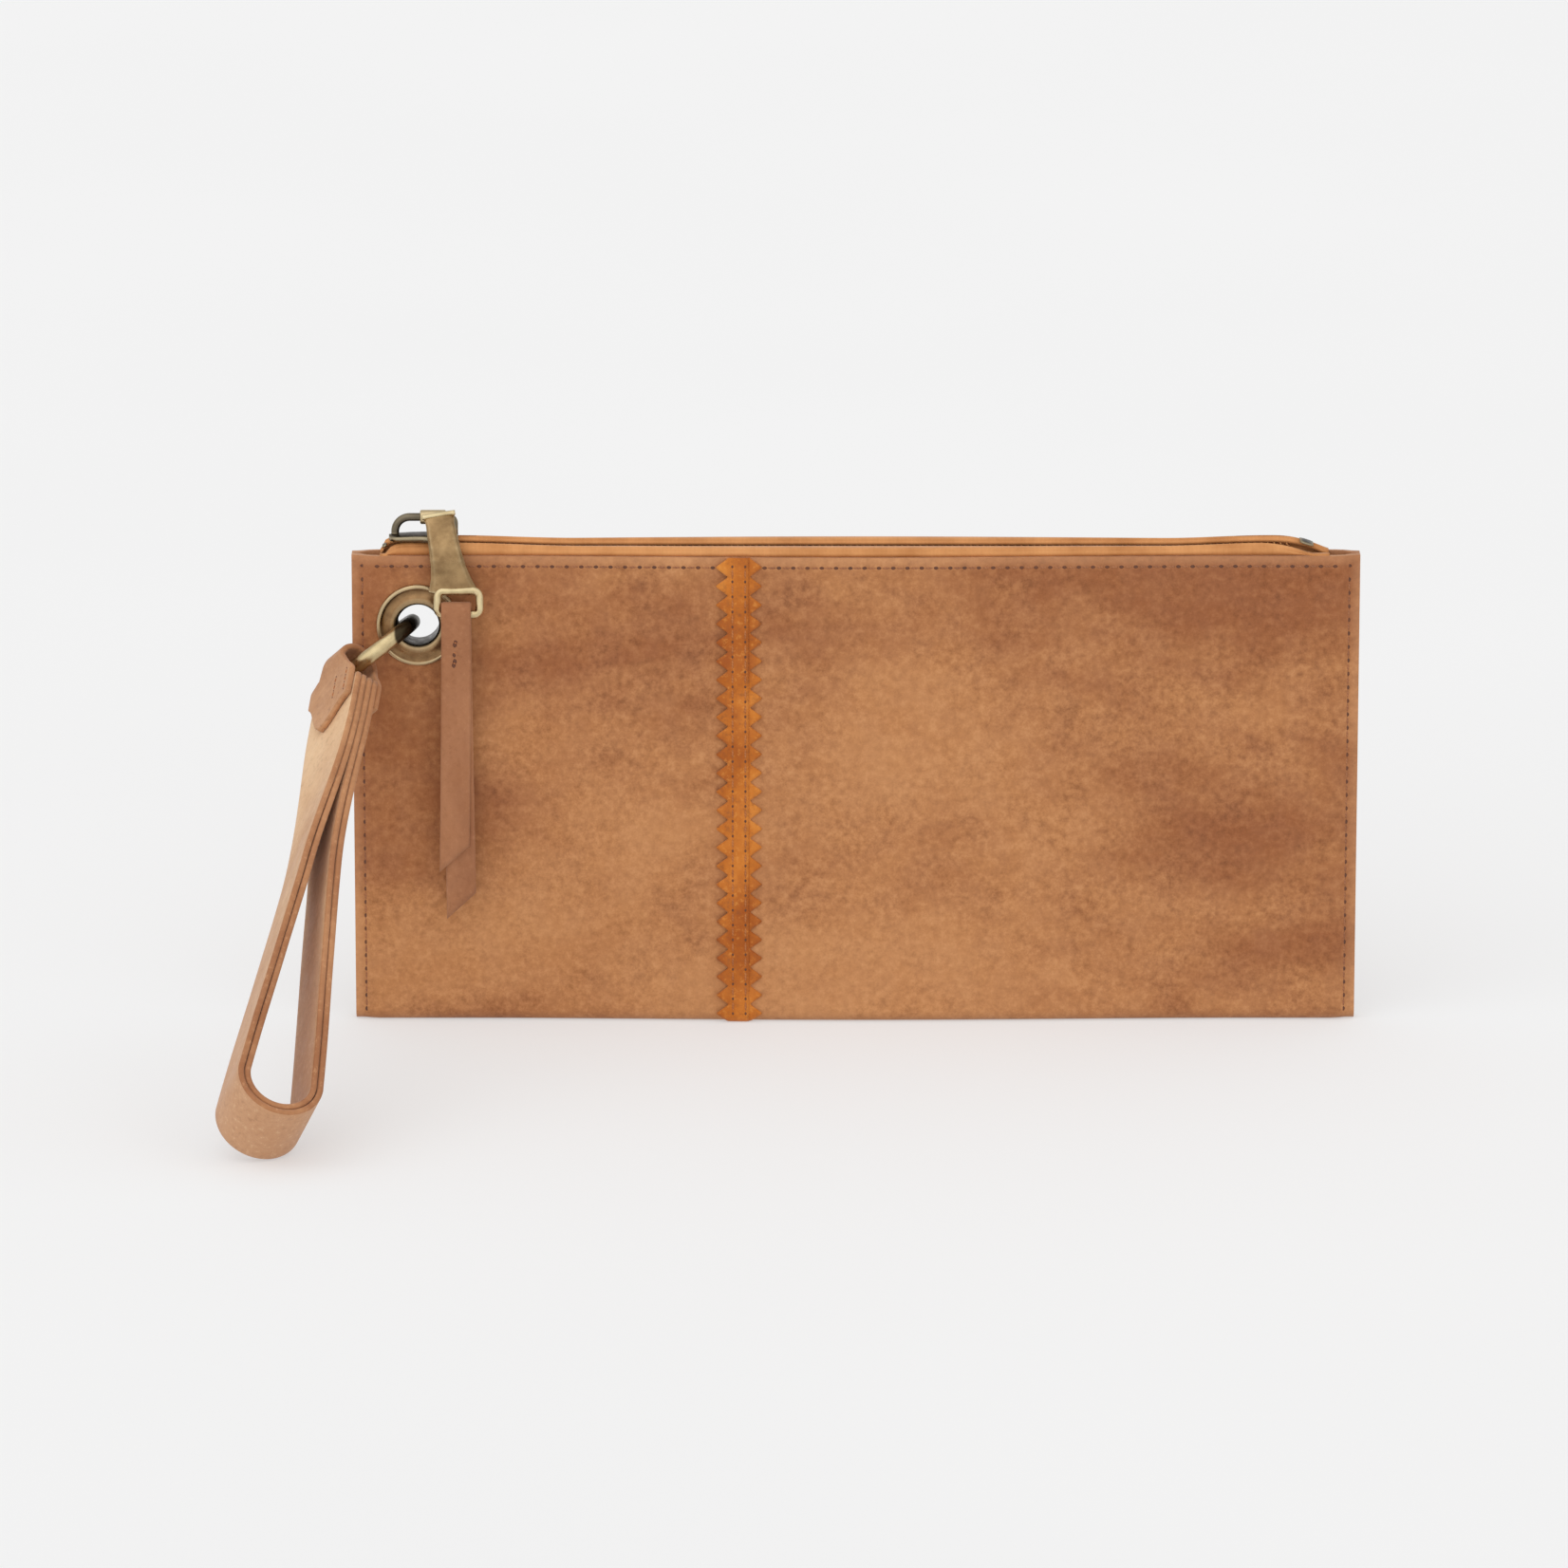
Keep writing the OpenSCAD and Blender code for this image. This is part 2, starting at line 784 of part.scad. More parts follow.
module ring_tab() {
    color(leather_color)
        sweep([for (i = [0:len(tab_line) - 1])
            let (ring = band_ring(tab_line, i, 0, layer_t - 0.08, tab_width(tab_line[i][0])),
                 back = -along * tab_slant(tab_line[i]))
            [ring[0] + back, ring[1] + back, ring[2], ring[3]]]);
}

// A stitch lying on the outside of the tab, at a distance down and across.
module tab_stitch(p, w, side) {
    q = side * (leg_q + layer_t / 2 + thread_d / 4 + 0.04);
    c = strap_top + along * p + apart(p) * q + across(p) * w;
    a = across(p) * thread_d / 2;
    b = along * stitch_len / 2;
    n = apart(p) * thread_d / 4;
    sweep([[c - a + b - n, c + a + b - n, c + a + b + n, c - a + b + n],
           [c - a - b - n, c + a - b - n, c + a - b + n, c - a - b + n]]);
}

module strap_stitches() {
    color(thread_color)
        for (w = [2.5, 7])
            for (i = [0:2]) {
                tab_stitch(6.5 + i * stitch_pitch * 0.8, w, 1);
                tab_stitch(6 + i * stitch_pitch * 0.8, 9 - 2 * w, -1);
            }
}

shell_left();
shell_right();
trim_front_lower();
trim_front_upper();
trim_back_lower();
trim_back_upper();
lining();
card_backing();
card_slot_top();
card_slot_middle();
card_slot_bottom();
slip_pocket();
zip_tape_front();
zip_tape_back();
zip_coil_front();
zip_coil_back();
zip_stop_left();
zip_stop_right();
eyelet_front();
eyelet_back();
top_stitches_front();
top_stitches_back();
side_stitches_front();
side_stitches_back();
trim_stitches_front();
trim_stitches_back();
slider_body();
slider_bail();
puller();
pull_tab();
pull_tab_stitches();
ring();
strap_outer();
strap_inner();
ring_tab();
strap_stitches();
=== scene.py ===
import bmesh
import bpy
import json
import math
import numpy as np
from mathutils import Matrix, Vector, noise


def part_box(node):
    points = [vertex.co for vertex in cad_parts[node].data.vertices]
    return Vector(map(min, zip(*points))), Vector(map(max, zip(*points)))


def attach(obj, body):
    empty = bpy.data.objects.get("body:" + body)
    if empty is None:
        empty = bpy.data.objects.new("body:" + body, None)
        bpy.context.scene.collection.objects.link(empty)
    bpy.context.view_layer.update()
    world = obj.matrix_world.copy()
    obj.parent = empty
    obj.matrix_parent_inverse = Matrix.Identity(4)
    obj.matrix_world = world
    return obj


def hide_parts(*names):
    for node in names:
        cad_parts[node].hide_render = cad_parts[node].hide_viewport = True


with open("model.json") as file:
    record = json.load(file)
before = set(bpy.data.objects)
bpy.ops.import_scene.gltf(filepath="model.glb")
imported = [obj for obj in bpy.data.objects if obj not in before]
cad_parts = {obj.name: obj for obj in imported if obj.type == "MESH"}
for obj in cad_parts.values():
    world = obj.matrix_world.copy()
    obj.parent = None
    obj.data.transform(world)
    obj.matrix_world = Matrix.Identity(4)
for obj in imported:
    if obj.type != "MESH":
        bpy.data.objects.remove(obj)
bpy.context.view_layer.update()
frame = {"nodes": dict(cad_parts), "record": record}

# ------------------------------------------------------------------ frame values, in metres

MM = 0.001
JOINTS = {j["name"]: j for j in frame["record"]["behaviour"]["joints"]}
MOUNTS = {m["name"]: m for m in frame["record"]["mounts"]}


def corners(node):
    low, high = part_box(node)
    return np.array(low, float), np.array(high, float)


left_low, left_high = corners("shell_left")
right_high = corners("shell_right")[1]
HALF_W = right_high[0]
HEIGHT = right_high[2]
SEAM_X = left_high[0]
MID_HALF = right_high[1]
FLAT_HALF = 3.5 * MM
FLAT_X = 93.5 * MM
PINCH_W = 5.5 * MM
PINCH_HALF = 2.2 * MM
LEATHER_T = 1.3 * MM
FOLD_R = 2.6 * MM

eyelet_low, eyelet_high = corners("eyelet_front")
EYELET = (eyelet_low + eyelet_high) / 2
EYELET[1] = 0
EYELET_R = (eyelet_high[0] - eyelet_low[0]) / 2
BARREL_R = 5.6 * MM

ring_low, ring_high = corners("ring")
RING_C = (ring_low + ring_high) / 2
WIRE_R = 1.85 * MM


def unit(v):
    v = np.array(v, float)
    return v / np.linalg.norm(v)


def mix(a, b, t):
    return a + (b - a) * t


def smooth(t):
    t = max(0.0, min(1.0, t))
    return t * t * (3 - 2 * t)


def vec(*values):
    return np.array(values, float)


STRAP_TOP = np.array(JOINTS["strap_swing"]["pos_m"], float)
STRAP_DIR = unit(np.array(MOUNTS["wrist_loop"]["pos_m"]) - STRAP_TOP)
STRAP_TANGENT = -np.array(JOINTS["strap_swing"]["axis"], float)
ACROSS_TOP = unit(STRAP_TANGENT - STRAP_TANGENT.dot(STRAP_DIR) * STRAP_DIR)
APART_TOP = np.cross(STRAP_DIR, ACROSS_TOP)
BAIL_BAR = np.array(JOINTS["puller_swing"]["pos_m"], float)
PULL_BAR = np.array(JOINTS["pull_tab_swing"]["pos_m"], float)


# ------------------------------------------------------------------ material nodes

def srgb(r, g, b):
    """Linear colour from display values of 0 to 255."""
    def lin(c):
        c = c / 255
        return c / 12.92 if c <= 0.04045 else ((c + 0.055) / 1.055) ** 2.4
    return (lin(r), lin(g), lin(b), 1.0)


class Nodes:
    """Short calls for building one material's node tree."""

    def __init__(self, name):
        self.mat = bpy.data.materials.new(name)
        self.mat.use_nodes = True
        self.tree = self.mat.node_tree
        self.tree.nodes.clear()
        self.out = self.tree.nodes.new("ShaderNodeOutputMaterial")
        self.shader = self.tree.nodes.new("ShaderNodeBsdfPrincipled")
        self.link(self.shader.outputs[0], self.out.inputs[0])
        self.coords = self.tree.nodes.new("ShaderNodeTexCoord").outputs["Object"]

    def link(self, a, b):
        self.tree.links.new(a, b)

    def feed(self, value, socket):
        if hasattr(value, "is_output"):
            self.link(value, socket)
        else:
            socket.default_value = value

    def noise(self, scale, detail=3.0, rough=0.5, vector=None, distort=0.0):
        n = self.tree.nodes.new("ShaderNodeTexNoise")
        n.inputs["Scale"].default_value = scale
        n.inputs["Detail"].default_value = detail
        n.inputs["Roughness"].default_value = rough
        n.inputs["Distortion"].default_value = distort
        self.link(vector or self.coords, n.inputs["Vector"])
        return n.outputs["Fac"]

    def cells(self, scale, feature="F1", vector=None):
        n = self.tree.nodes.new("ShaderNodeTexVoronoi")
        n.feature = feature
        n.inputs["Scale"].default_value = scale
        self.link(vector or self.coords, n.inputs["Vector"])
        return n.outputs["Distance"]

    def wave(self, scale, direction="X", distort=0.0):
        n = self.tree.nodes.new("ShaderNodeTexWave")
        n.bands_direction = direction
        n.inputs["Scale"].default_value = scale
        n.inputs["Distortion"].default_value = distort
        self.link(self.coords, n.inputs["Vector"])
        return n.outputs["Fac"]

    def mapped(self, scale=(1, 1, 1), location=(0, 0, 0), rotation=(0, 0, 0)):
        n = self.tree.nodes.new("ShaderNodeMapping")
        n.inputs["Scale"].default_value = scale
        n.inputs["Location"].default_value = location
        n.inputs["Rotation"].default_value = rotation
        self.link(self.coords, n.inputs["Vector"])
        return n.outputs["Vector"]

    def remap(self, value, low, high, to_low=0.0, to_high=1.0):
        n = self.tree.nodes.new("ShaderNodeMapRange")
        n.interpolation_type = "SMOOTHSTEP"
        n.inputs["From Min"].default_value = low
        n.inputs["From Max"].default_value = high
        n.inputs["To Min"].default_value = to_low
        n.inputs["To Max"].default_value = to_high
        self.link(value, n.inputs["Value"])
        return n.outputs["Result"]

    def math(self, op, a, b=0.0):
        n = self.tree.nodes.new("ShaderNodeMath")
        n.operation = op
        self.feed(a, n.inputs[0])
        self.feed(b, n.inputs[1])
        return n.outputs[0]

    def axis(self, name, vector=None):
        n = self.tree.nodes.new("ShaderNodeSeparateXYZ")
        self.link(vector or self.coords, n.inputs[0])
        return n.outputs[name]

    def blend(self, factor, a, b, mode="MIX"):
        n = self.tree.nodes.new("ShaderNodeMix")
        n.data_type = "RGBA"
        n.blend_type = mode
        self.feed(factor, n.inputs[0])
        self.feed(a, n.inputs[6])
        self.feed(b, n.inputs[7])
        return n.outputs[2]

    def bump(self, height, distance, strength=1.0, before=None):
        n = self.tree.nodes.new("ShaderNodeBump")
        n.inputs["Distance"].default_value = distance
        n.inputs["Strength"].default_value = strength
        self.link(height, n.inputs["Height"])
        if before:
            self.link(before, n.inputs["Normal"])
        return n.outputs["Normal"]

    def pointiness(self):
        return self.tree.nodes.new("ShaderNodeNewGeometry").outputs["Pointiness"]

    def finish(self, color, rough, normal=None, metallic=0.0, **sockets):
        s = self.shader.inputs
        self.feed(color, s["Base Color"])
        self.feed(rough, s["Roughness"])
        s["Metallic"].default_value = metallic
        if normal:
            self.link(normal, s["Normal"])
        for key, value in sockets.items():
            s[key.replace("_", " ")].default_value = value
        return self.mat


def worn_leather(name, base, dark, light, shade=0.0, streak=(1, 1, 1), speckle=1.0, foot=None):
    """Rubbed nubuck: broad dark and light clouds, a fine even grain and a dry surface; given foot, painted
    shade darkens it towards the floor.
    """
    n = Nodes(name)
    stretched = n.mapped(scale=streak)
    cloud = n.noise(17, 5, 0.55, stretched, 0.4)
    patch = n.noise(48, 4, 0.6, stretched, 0.2)
    broad = n.math("ADD", n.math("MULTIPLY", cloud, 0.7), n.math("MULTIPLY", patch, 0.3))
    lift = n.math("ADD", broad, shade)
    color = n.blend(n.remap(lift, 0.42, 0.62), dark, base)
    color = n.blend(n.remap(lift, 0.55, 0.74, 0.0, 0.75), color, light)
    # Painted shade near the floor: below 55 mm the colour turns towards foot.
    if foot:
        color = n.blend(n.remap(n.axis("Z"), 0.055, 0.012, 0.0, 0.85), color, foot)
    grain = n.noise(760, 6, 0.7)
    cluster = n.noise(130, 3, 0.6)
    dots = n.math("MULTIPLY", n.remap(grain, 0.50, 0.68), n.remap(cluster, 0.3, 0.7, 0.3, 1.0))
    color = n.blend(n.math("MULTIPLY", dots, 0.42 * speckle), color, srgb(116, 70, 40))
    color = n.blend(n.remap(grain, 0.46, 0.32, 0.0, 0.35), color, light)
    pores = n.cells(1400, "F1")
    normal = n.bump(n.noise(900, 3, 0.6), 0.00010, 0.55)
    normal = n.bump(pores, 0.00005, 0.4, normal)
    normal = n.bump(n.noise(70, 3, 0.5), 0.0006, 0.25, normal)
    rough = n.remap(n.noise(160, 3, 0.5), 0.3, 0.7, 0.62, 0.82)
    return n.finish(color, rough, normal, Sheen_Weight=0.12, Sheen_Roughness=0.5, Specular_IOR_Level=0.3)


def panel_leather():
    """The wallet's own leather, darker towards the top and the right, paler below the middle."""
    n = Nodes("worn_nubuck")
    x, z = n.axis("X"), n.axis("Z")
    height = n.remap(z, 0.01, 0.115, 0.0, 1.0)
    across = n.remap(x, -0.02, 0.11, 0.0, 1.0)
    fall = n.math("ADD", n.math("MULTIPLY", height, -0.115), n.math("MULTIPLY", across, -0.085))
    wide = n.mapped(scale=(0.75, 1, 1.15), location=(0.013, 0.3, 0.041))
    cloud = n.noise(16, 4, 0.55, wide, 0.5)
    patch = n.noise(52, 4, 0.6, wide, 0.2)
    lift = n.math("ADD", n.math("MULTIPLY", cloud, 0.72), n.math("MULTIPLY", patch, 0.28))
    lift = n.math("ADD", lift, n.math("ADD", fall, 0.065))
    color = n.blend(n.remap(lift, 0.32, 0.58), srgb(152, 92, 54), srgb(187, 128, 80))
    color = n.blend(n.remap(lift, 0.52, 0.74, 0.0, 0.75), color, srgb(198, 141, 92))
    grain = n.noise(520, 6, 0.75)
    cluster = n.noise(110, 3, 0.6)
    depth = n.math("MULTIPLY", n.remap(cluster, 0.3, 0.7, 0.45, 1.0), n.remap(lift, 0.36, 0.66, 1.0, 0.5))
    dots = n.math("MULTIPLY", n.remap(grain, 0.42, 0.72), depth)
    color = n.blend(n.math("MULTIPLY", dots, 0.8), color, srgb(116, 66, 34))
    pale = n.math("MULTIPLY", n.remap(grain, 0.5, 0.30), n.remap(lift, 0.36, 0.56, 0.15, 0.42))
    color = n.blend(pale, color, srgb(212, 156, 106))
    edge_z = n.remap(z, HEIGHT - 0.0035, HEIGHT - 0.0004, 0.0, 0.30)
    # Painted shade along the bottom fold: the lowest 3.5 mm darkens where the panel turns under the base.
    bottom_fold_shade = n.remap(z, 0.0035, 0.0, 0.0, 0.35)
    side = n.remap(n.math("ABSOLUTE", x), HALF_W - 0.003, HALF_W, 0.0, 0.25)
    worn = n.math("MAXIMUM", edge_z, side)
    color = n.blend(worn, color, srgb(214, 160, 116))
    # Painted shade at the bottom fold.
    color = n.blend(bottom_fold_shade, color, srgb(140, 92, 60))
    normal = n.bump(n.noise(950, 3, 0.6), 0.00009, 0.5)
    normal = n.bump(n.cells(620, "F1"), 0.00008, 0.35, normal)
    normal = n.bump(n.noise(60, 3, 0.5), 0.0006, 0.3, normal)
    rough = n.remap(n.noise(150, 3, 0.5), 0.3, 0.7, 0.62, 0.84)
    return n.finish(color, rough, normal, Sheen_Weight=0.1, Sheen_Roughness=0.5, Specular_IOR_Level=0.3)


def antique_brass(name, bright, dark, wear=0.5, bore=False):
    """Brushed old brass with darker hollows, rubbed edges and, if asked, painted shade inside the eyelet's
    bore.
    """
    n = Nodes(name)
    tarnish = n.noise(260, 5, 0.62)
    brush = n.noise(900, 2, 0.5, n.mapped(scale=(1, 1, 0.15)))
    color = n.blend(n.remap(tarnish, 0.28, 0.72, 0.25, 1.0), dark, bright)
    rubbed = n.remap(n.pointiness(), 0.505, 0.56, 0.0, wear)
    color = n.blend(rubbed, color, srgb(232, 214, 172))
    hollow = n.remap(n.pointiness(), 0.492, 0.45, 0.0, 0.55)
    color = n.blend(hollow, color, srgb(70, 52, 34))
    if bore:
        dx = n.math("SUBTRACT", n.axis("X"), float(EYELET[0]))
        dz = n.math("SUBTRACT", n.axis("Z"), float(EYELET[2]))
        away = n.math("SQRT", n.math("ADD", n.math("MULTIPLY", dx, dx), n.math("MULTIPLY", dz, dz)))
        # Painted shade inside the eyelet's bore: within 5.1 to 5.8 mm of its axis, the wall and the ring
        # that runs through it fade to near black.
        color = n.blend(n.remap(away, 0.0058, 0.0051, 0.0, 0.93), color, srgb(34, 24, 16))
    rough = n.remap(n.noise(600, 3, 0.6), 0.3, 0.7, 0.24, 0.42)
    normal = n.bump(brush, 0.00002, 0.35)
    return n.finish(color, rough, normal, metallic=1.0)


def zip_cloth():
    """Smooth woven tape with fine cross ribs."""
    n = Nodes("zip_cloth")
    tone = n.noise(90, 4, 0.6)
    color = n.blend(n.remap(tone, 0.3, 0.7), srgb(186, 122, 66), srgb(214, 150, 92))
    ribs = n.wave(330, "X")
    color = n.blend(n.math("MULTIPLY", ribs, 0.05), color, srgb(150, 92, 48))
    weave = n.noise(2600, 2, 0.5)
    normal = n.bump(ribs, 0.00005, 0.3)
    normal = n.bump(weave, 0.00004, 0.4, normal)
    return n.finish(color, n.remap(tone, 0.3, 0.7, 0.6, 0.75), normal,
                    Sheen_Weight=0.25, Sheen_Roughness=0.4, Specular_IOR_Level=0.35)


def lining_cloth():
    n = Nodes("lining_cloth")
    warp = n.wave(700, "X")
    weft = n.wave(700, "Z")
    weave = n.math("MULTIPLY", warp, weft)
    tone = n.noise(60, 3, 0.5)
    color = n.blend(n.remap(tone, 0.3, 0.7), srgb(96, 74, 56), srgb(122, 98, 76))
    color = n.blend(n.math("MULTIPLY", weave, 0.4), color, srgb(70, 52, 40))
    return n.finish(color, n.remap(tone, 0.3, 0.7, 0.7, 0.85), n.bump(weave, 0.0001, 0.5))


def thread_fibre(name, a, b):
    """Waxed thread: two shades with a slanting twist."""
    n = Nodes(name)
    twist = n.wave(900, "DIAGONAL")
    tone = n.noise(300, 3, 0.6)
    color = n.blend(n.remap(tone, 0.3, 0.7), a, b)
    color = n.blend(n.math("MULTIPLY", twist, 0.3), color, srgb(60, 34, 20))
    return n.finish(color, n.remap(tone, 0.3, 0.7, 0.5, 0.7), n.bump(twist, 0.00008, 0.6))


def studio_floor():
    n = Nodes("studio_floor")
    tone = n.noise(3, 2, 0.5)
    color = n.blend(n.remap(tone, 0.3, 0.7), (0.475, 0.475, 0.475, 1), (0.485, 0.485, 0.485, 1))
    return n.finish(color, 0.9, Specular_IOR_Level=0.1, Emission_Color=(1, 1, 1, 1), Emission_Strength=0.405)


PANEL = panel_leather()
# The strap's last colour is its painted shade near the floor.
STRAP = worn_leather("strap_leather", srgb(220, 180, 138), srgb(194, 146, 104), srgb(234, 202, 162),
                     0.03, (1, 1, 0.8), 0.7, srgb(190, 140, 102))
KEEPER = worn_leather("keeper_leather", srgb(196, 146, 104), srgb(172, 120, 80), srgb(212, 166, 124))
EDGE = worn_leather("cut_edge", srgb(196, 142, 98), srgb(158, 102, 64), srgb(220, 170, 124), 0.0,
                    (1, 1, 1), 0.6)
TAB = worn_leather("tab_leather", srgb(166, 112, 76), srgb(142, 90, 58), srgb(186, 132, 94), 0.02,
                   (1.5, 1, 0.5), 0.7)
TRIM = worn_leather("trim_leather", srgb(200, 116, 34), srgb(160, 80, 16), srgb(232, 160, 76), 0.02,
                    (2.4, 1, 1.6), 1.2)
BRASS = antique_brass("antique_brass", srgb(168, 138, 98), srgb(118, 92, 62))
# bore=True paints shade inside the eyelet's bore, on the eyelet's wall and on the ring where it runs
# through.
EYELET_BRASS = antique_brass("eyelet_brass", srgb(158, 124, 86), srgb(108, 80, 54), bore=True)
# On the puller's rolled edge this paler brass is partly a painted highlight.
BRASS_PALE = antique_brass("rubbed_brass", srgb(206, 186, 142), srgb(158, 134, 94), 0.7, bore=True)
STEEL = antique_brass("dark_brass", srgb(86, 78, 70), srgb(46, 41, 38), 0.35)
TAPE = zip_cloth()
LINING = lining_cloth()
THREAD = thread_fibre("thread", srgb(150, 92, 56), srgb(176, 114, 72))
# Dark lozenges at the needle holes: painted shade in the holes.
HOLE_SHADE = thread_fibre("needle_hole_shade", srgb(92, 50, 28), srgb(110, 62, 36))
TRIM_THREAD = thread_fibre("trim_thread", srgb(170, 96, 42), srgb(196, 120, 60))


# ------------------------------------------------------------------ mesh helpers

def make(name, points, faces, materials, face_materials=None, flat=False):
    """A mesh object in metres from points and faces, with outward normals."""
    mesh = bpy.data.meshes.new(name)
    mesh.from_pydata([tuple(float(c) for c in p) for p in points], [], faces)
    mesh.validate()
    work = bmesh.new()
    work.from_mesh(mesh)
    bmesh.ops.recalc_face_normals(work, faces=work.faces)
    work.to_mesh(mesh)
    work.free()
    for m in materials:
        mesh.materials.append(m)
    if face_materials:
        mesh.polygons.foreach_set("material_index", face_materials)
    mesh.polygons.foreach_set("use_smooth", [not flat] * len(mesh.polygons))
    obj = bpy.data.objects.new(name, mesh)
    bpy.context.scene.collection.objects.link(obj)
    return obj


def strip_cap(size, fold):
    """The end of a flat sweep as quads across its thickness; point j faces point fold - j."""
    quads = []
    for j in range(fold // 2 - size // 2, fold // 2):
        turn = (j % size, (j + 1) % size, (fold - j - 1) % size, (fold - j) % size)
        quads.append(tuple(dict.fromkeys(turn)))
    return quads


def ring_sweep(name, rings, materials, closed=False, pick=None, fold=None):
    """A skin through equal rings of points; the ends are capped unless the sweep is closed."""
    count, size = len(rings), len(rings[0])
    points = [p for ring in rings for p in ring]
    faces, picks = [], []
    spans = count if closed else count - 1
    for i in range(spans):
        k = (i + 1) % count
        for j in range(size):
            m = (j + 1) % size
            faces.append((i * size + j, i * size + m, k * size + m, k * size + j))
            picks.append(pick(i, j) if pick else 0)
    if not closed:
        for cap in [tuple(range(size))] if fold is None else strip_cap(size, fold):
            faces.append(tuple(reversed(cap)))
            faces.append(tuple((count - 1) * size + j for j in cap))
            picks += [0, 0]
    return make(name, points, faces, materials, picks)


def slab(name, outer, inner, materials, edge=0):
    """A closed sheet between two grids of points, with its rim as one more material."""
    rows, cols = len(outer), len(outer[0])
    points = [p for row in outer for p in row] + [p for row in inner for p in row]
    shift = rows * cols
    faces, picks = [], []
    for i in range(rows - 1):
        for j in range(cols - 1):
            a, b, c, d = i * cols + j, i * cols + j + 1, (i + 1) * cols + j + 1, (i + 1) * cols + j
            faces += [(a, b, c, d), (d + shift, c + shift, b + shift, a + shift)]
            picks += [0, 0]
    border = [(0, j) for j in range(cols)] + [(i, cols - 1) for i in range(1, rows)]
    border += [(rows - 1, j) for j in range(cols - 2, -1, -1)] + [(i, 0) for i in range(rows - 2, 0, -1)]
    ids = [i * cols + j for i, j in border]
    for k, a in enumerate(ids):
        b = ids[(k + 1) % len(ids)]
        faces.append((b, a, a + shift, b + shift))
        picks.append(edge)
    return make(name, points, faces, materials, picks)


def modified(obj, kind, **settings):
    """Adds one modifier, applies it and returns the object."""
    mod = obj.modifiers.new(kind.lower(), kind)
    for key, value in settings.items():
        setattr(mod, key, value)
    with bpy.context.temp_override(object=obj, active_object=obj, selected_objects=[obj]):
        bpy.ops.object.modifier_apply(modifier=mod.name)
    return obj


def rounded(obj, width, segments=2, angle=35):
    return modified(obj, "BEVEL", width=width, segments=segments, limit_method="ANGLE",
                    angle_limit=math.radians(angle), harden_normals=False)


def lathe(name, profile, centre, material, steps=96, side=-1):
    """Turns (radius, outward) points about a line along Y. side is -1 for the front."""
    rings = []
    for i in range(steps):
        a = 2 * math.pi * i / steps
        rings.append([centre + vec(r * math.cos(a), side * y, r * math.sin(a)) for r, y in profile])
    return ring_sweep(name, rings, [material], closed=True)


def tube(name, path, radius, material, sides=16, closed=False):
    """A round wire along a path of points."""
    path = [np.array(p, float) for p in path]
    n = len(path)
    rings = []
    up = None
    for i, p in enumerate(path):
        before = path[i - 1] if closed or i else p
        after = path[(i + 1) % n] if closed or i < n - 1 else p
        d = unit(after - before)
        if up is None:
            up = unit(np.cross(d, vec(0.13, 1, 0.21)))
        up = unit(up - up.dot(d) * d)
        other = np.cross(d, up)
        rings.append([p + radius * (math.cos(a) * up + math.sin(a) * other)
                      for a in (2 * math.pi * k / sides for k in range(sides))])
    return ring_sweep(name, rings, [material], closed=closed)


def joined(name, objects):
    """One object from several, keeping their materials."""
    work = bmesh.new()
    mats = []
    for obj in objects:
        base = {}
        for i, m in enumerate(obj.data.materials):
            if m not in mats:
                mats.append(m)
            base[i] = mats.index(m)
        start = len(work.faces)
        work.from_mesh(obj.data)
        work.faces.ensure_lookup_table()
        for face in work.faces[start:]:
            face.material_index = base.get(face.material_index, 0)
    mesh = bpy.data.meshes.new(name)
    work.to_mesh(mesh)
    work.free()
    for m in mats:
        mesh.materials.append(m)
    result = bpy.data.objects.new(name, mesh)
    bpy.context.scene.collection.objects.link(result)
    for obj in objects:
        bpy.data.objects.remove(obj)
    return result


# ------------------------------------------------------------------ leather panels

def wobble(x, z):
    """Slight unevenness of a filled leather panel, the same at the same place."""
    a = noise.noise(Vector((x * 21 + 3.1, 0.4, z * 24 + 1.7)))
    b = noise.noise(Vector((x * 55 + 8.2, 5.1, z * 60 + 2.9)))
    fade = smooth((HALF_W - abs(x)) / (14 * MM)) * smooth(z / (10 * MM)) * smooth((HEIGHT - z) / (8 * MM))
    return 0.22 * MM * (a + 0.35 * b) * fade


def half_t(x):
    """Half of the wallet's thickness at x, with the seams pressed flat at the two ends."""
    a = min(abs(x), HALF_W)
    s = min(1.0, a / FLAT_X)
    full = FLAT_HALF + (MID_HALF - FLAT_HALF) * (1 - s * s) ** 2
    return mix(full, PINCH_HALF, smooth((a - (HALF_W - PINCH_W)) / PINCH_W))


def near_eyelet(x, z):
    """0 away from the eyelet and 1 under its flange, where the leather is clamped flat."""
    d = math.hypot(x - EYELET[0], z - EYELET[2])
    return 1 - smooth((d - EYELET_R) / (5 * MM))


def face_y(x, z):
    """Depth of the outer face below the top edge, as a positive distance from the middle."""
    full = half_t(x) + wobble(x, z)
    pressed = min(FLAT_HALF, half_t(x) + 0.5 * MM)
    return mix(full, pressed, near_eyelet(x, z))


def u_line(x, lift):
    """Section of a folded panel at x: down the front, under the base, up the back, moved in by lift."""
    line = []
    rows = 46
    fold = FOLD_R - lift
    for k in range(rows + 1):
        z = HEIGHT + (FOLD_R - HEIGHT) * k / rows
        line.append((-max(0.05 * MM, face_y(x, z) - lift), z))
    half = face_y(x, FOLD_R) - lift
    fold = min(fold, half)
    for k in range(1, 9):
        a = math.pi / 2 * k / 8
        line.append((-(half - fold) - fold * math.cos(a), FOLD_R - (FOLD_R - lift) * math.sin(a)))
    for k in range(1, 4):
        line.append((mix(-(half - fold), half - fold, k / 4), lift))
    return line + [(-y, z) for y, z in reversed(line[:-3])]


def seam_lift(x):
    """Leather thickness at x: the last 2 mm of each end closes on the other face."""
    closed = smooth((abs(x) - HALF_W + 3.2 * MM) / (1.4 * MM))
    return mix(LEATHER_T, PINCH_HALF - 0.06 * MM, closed)


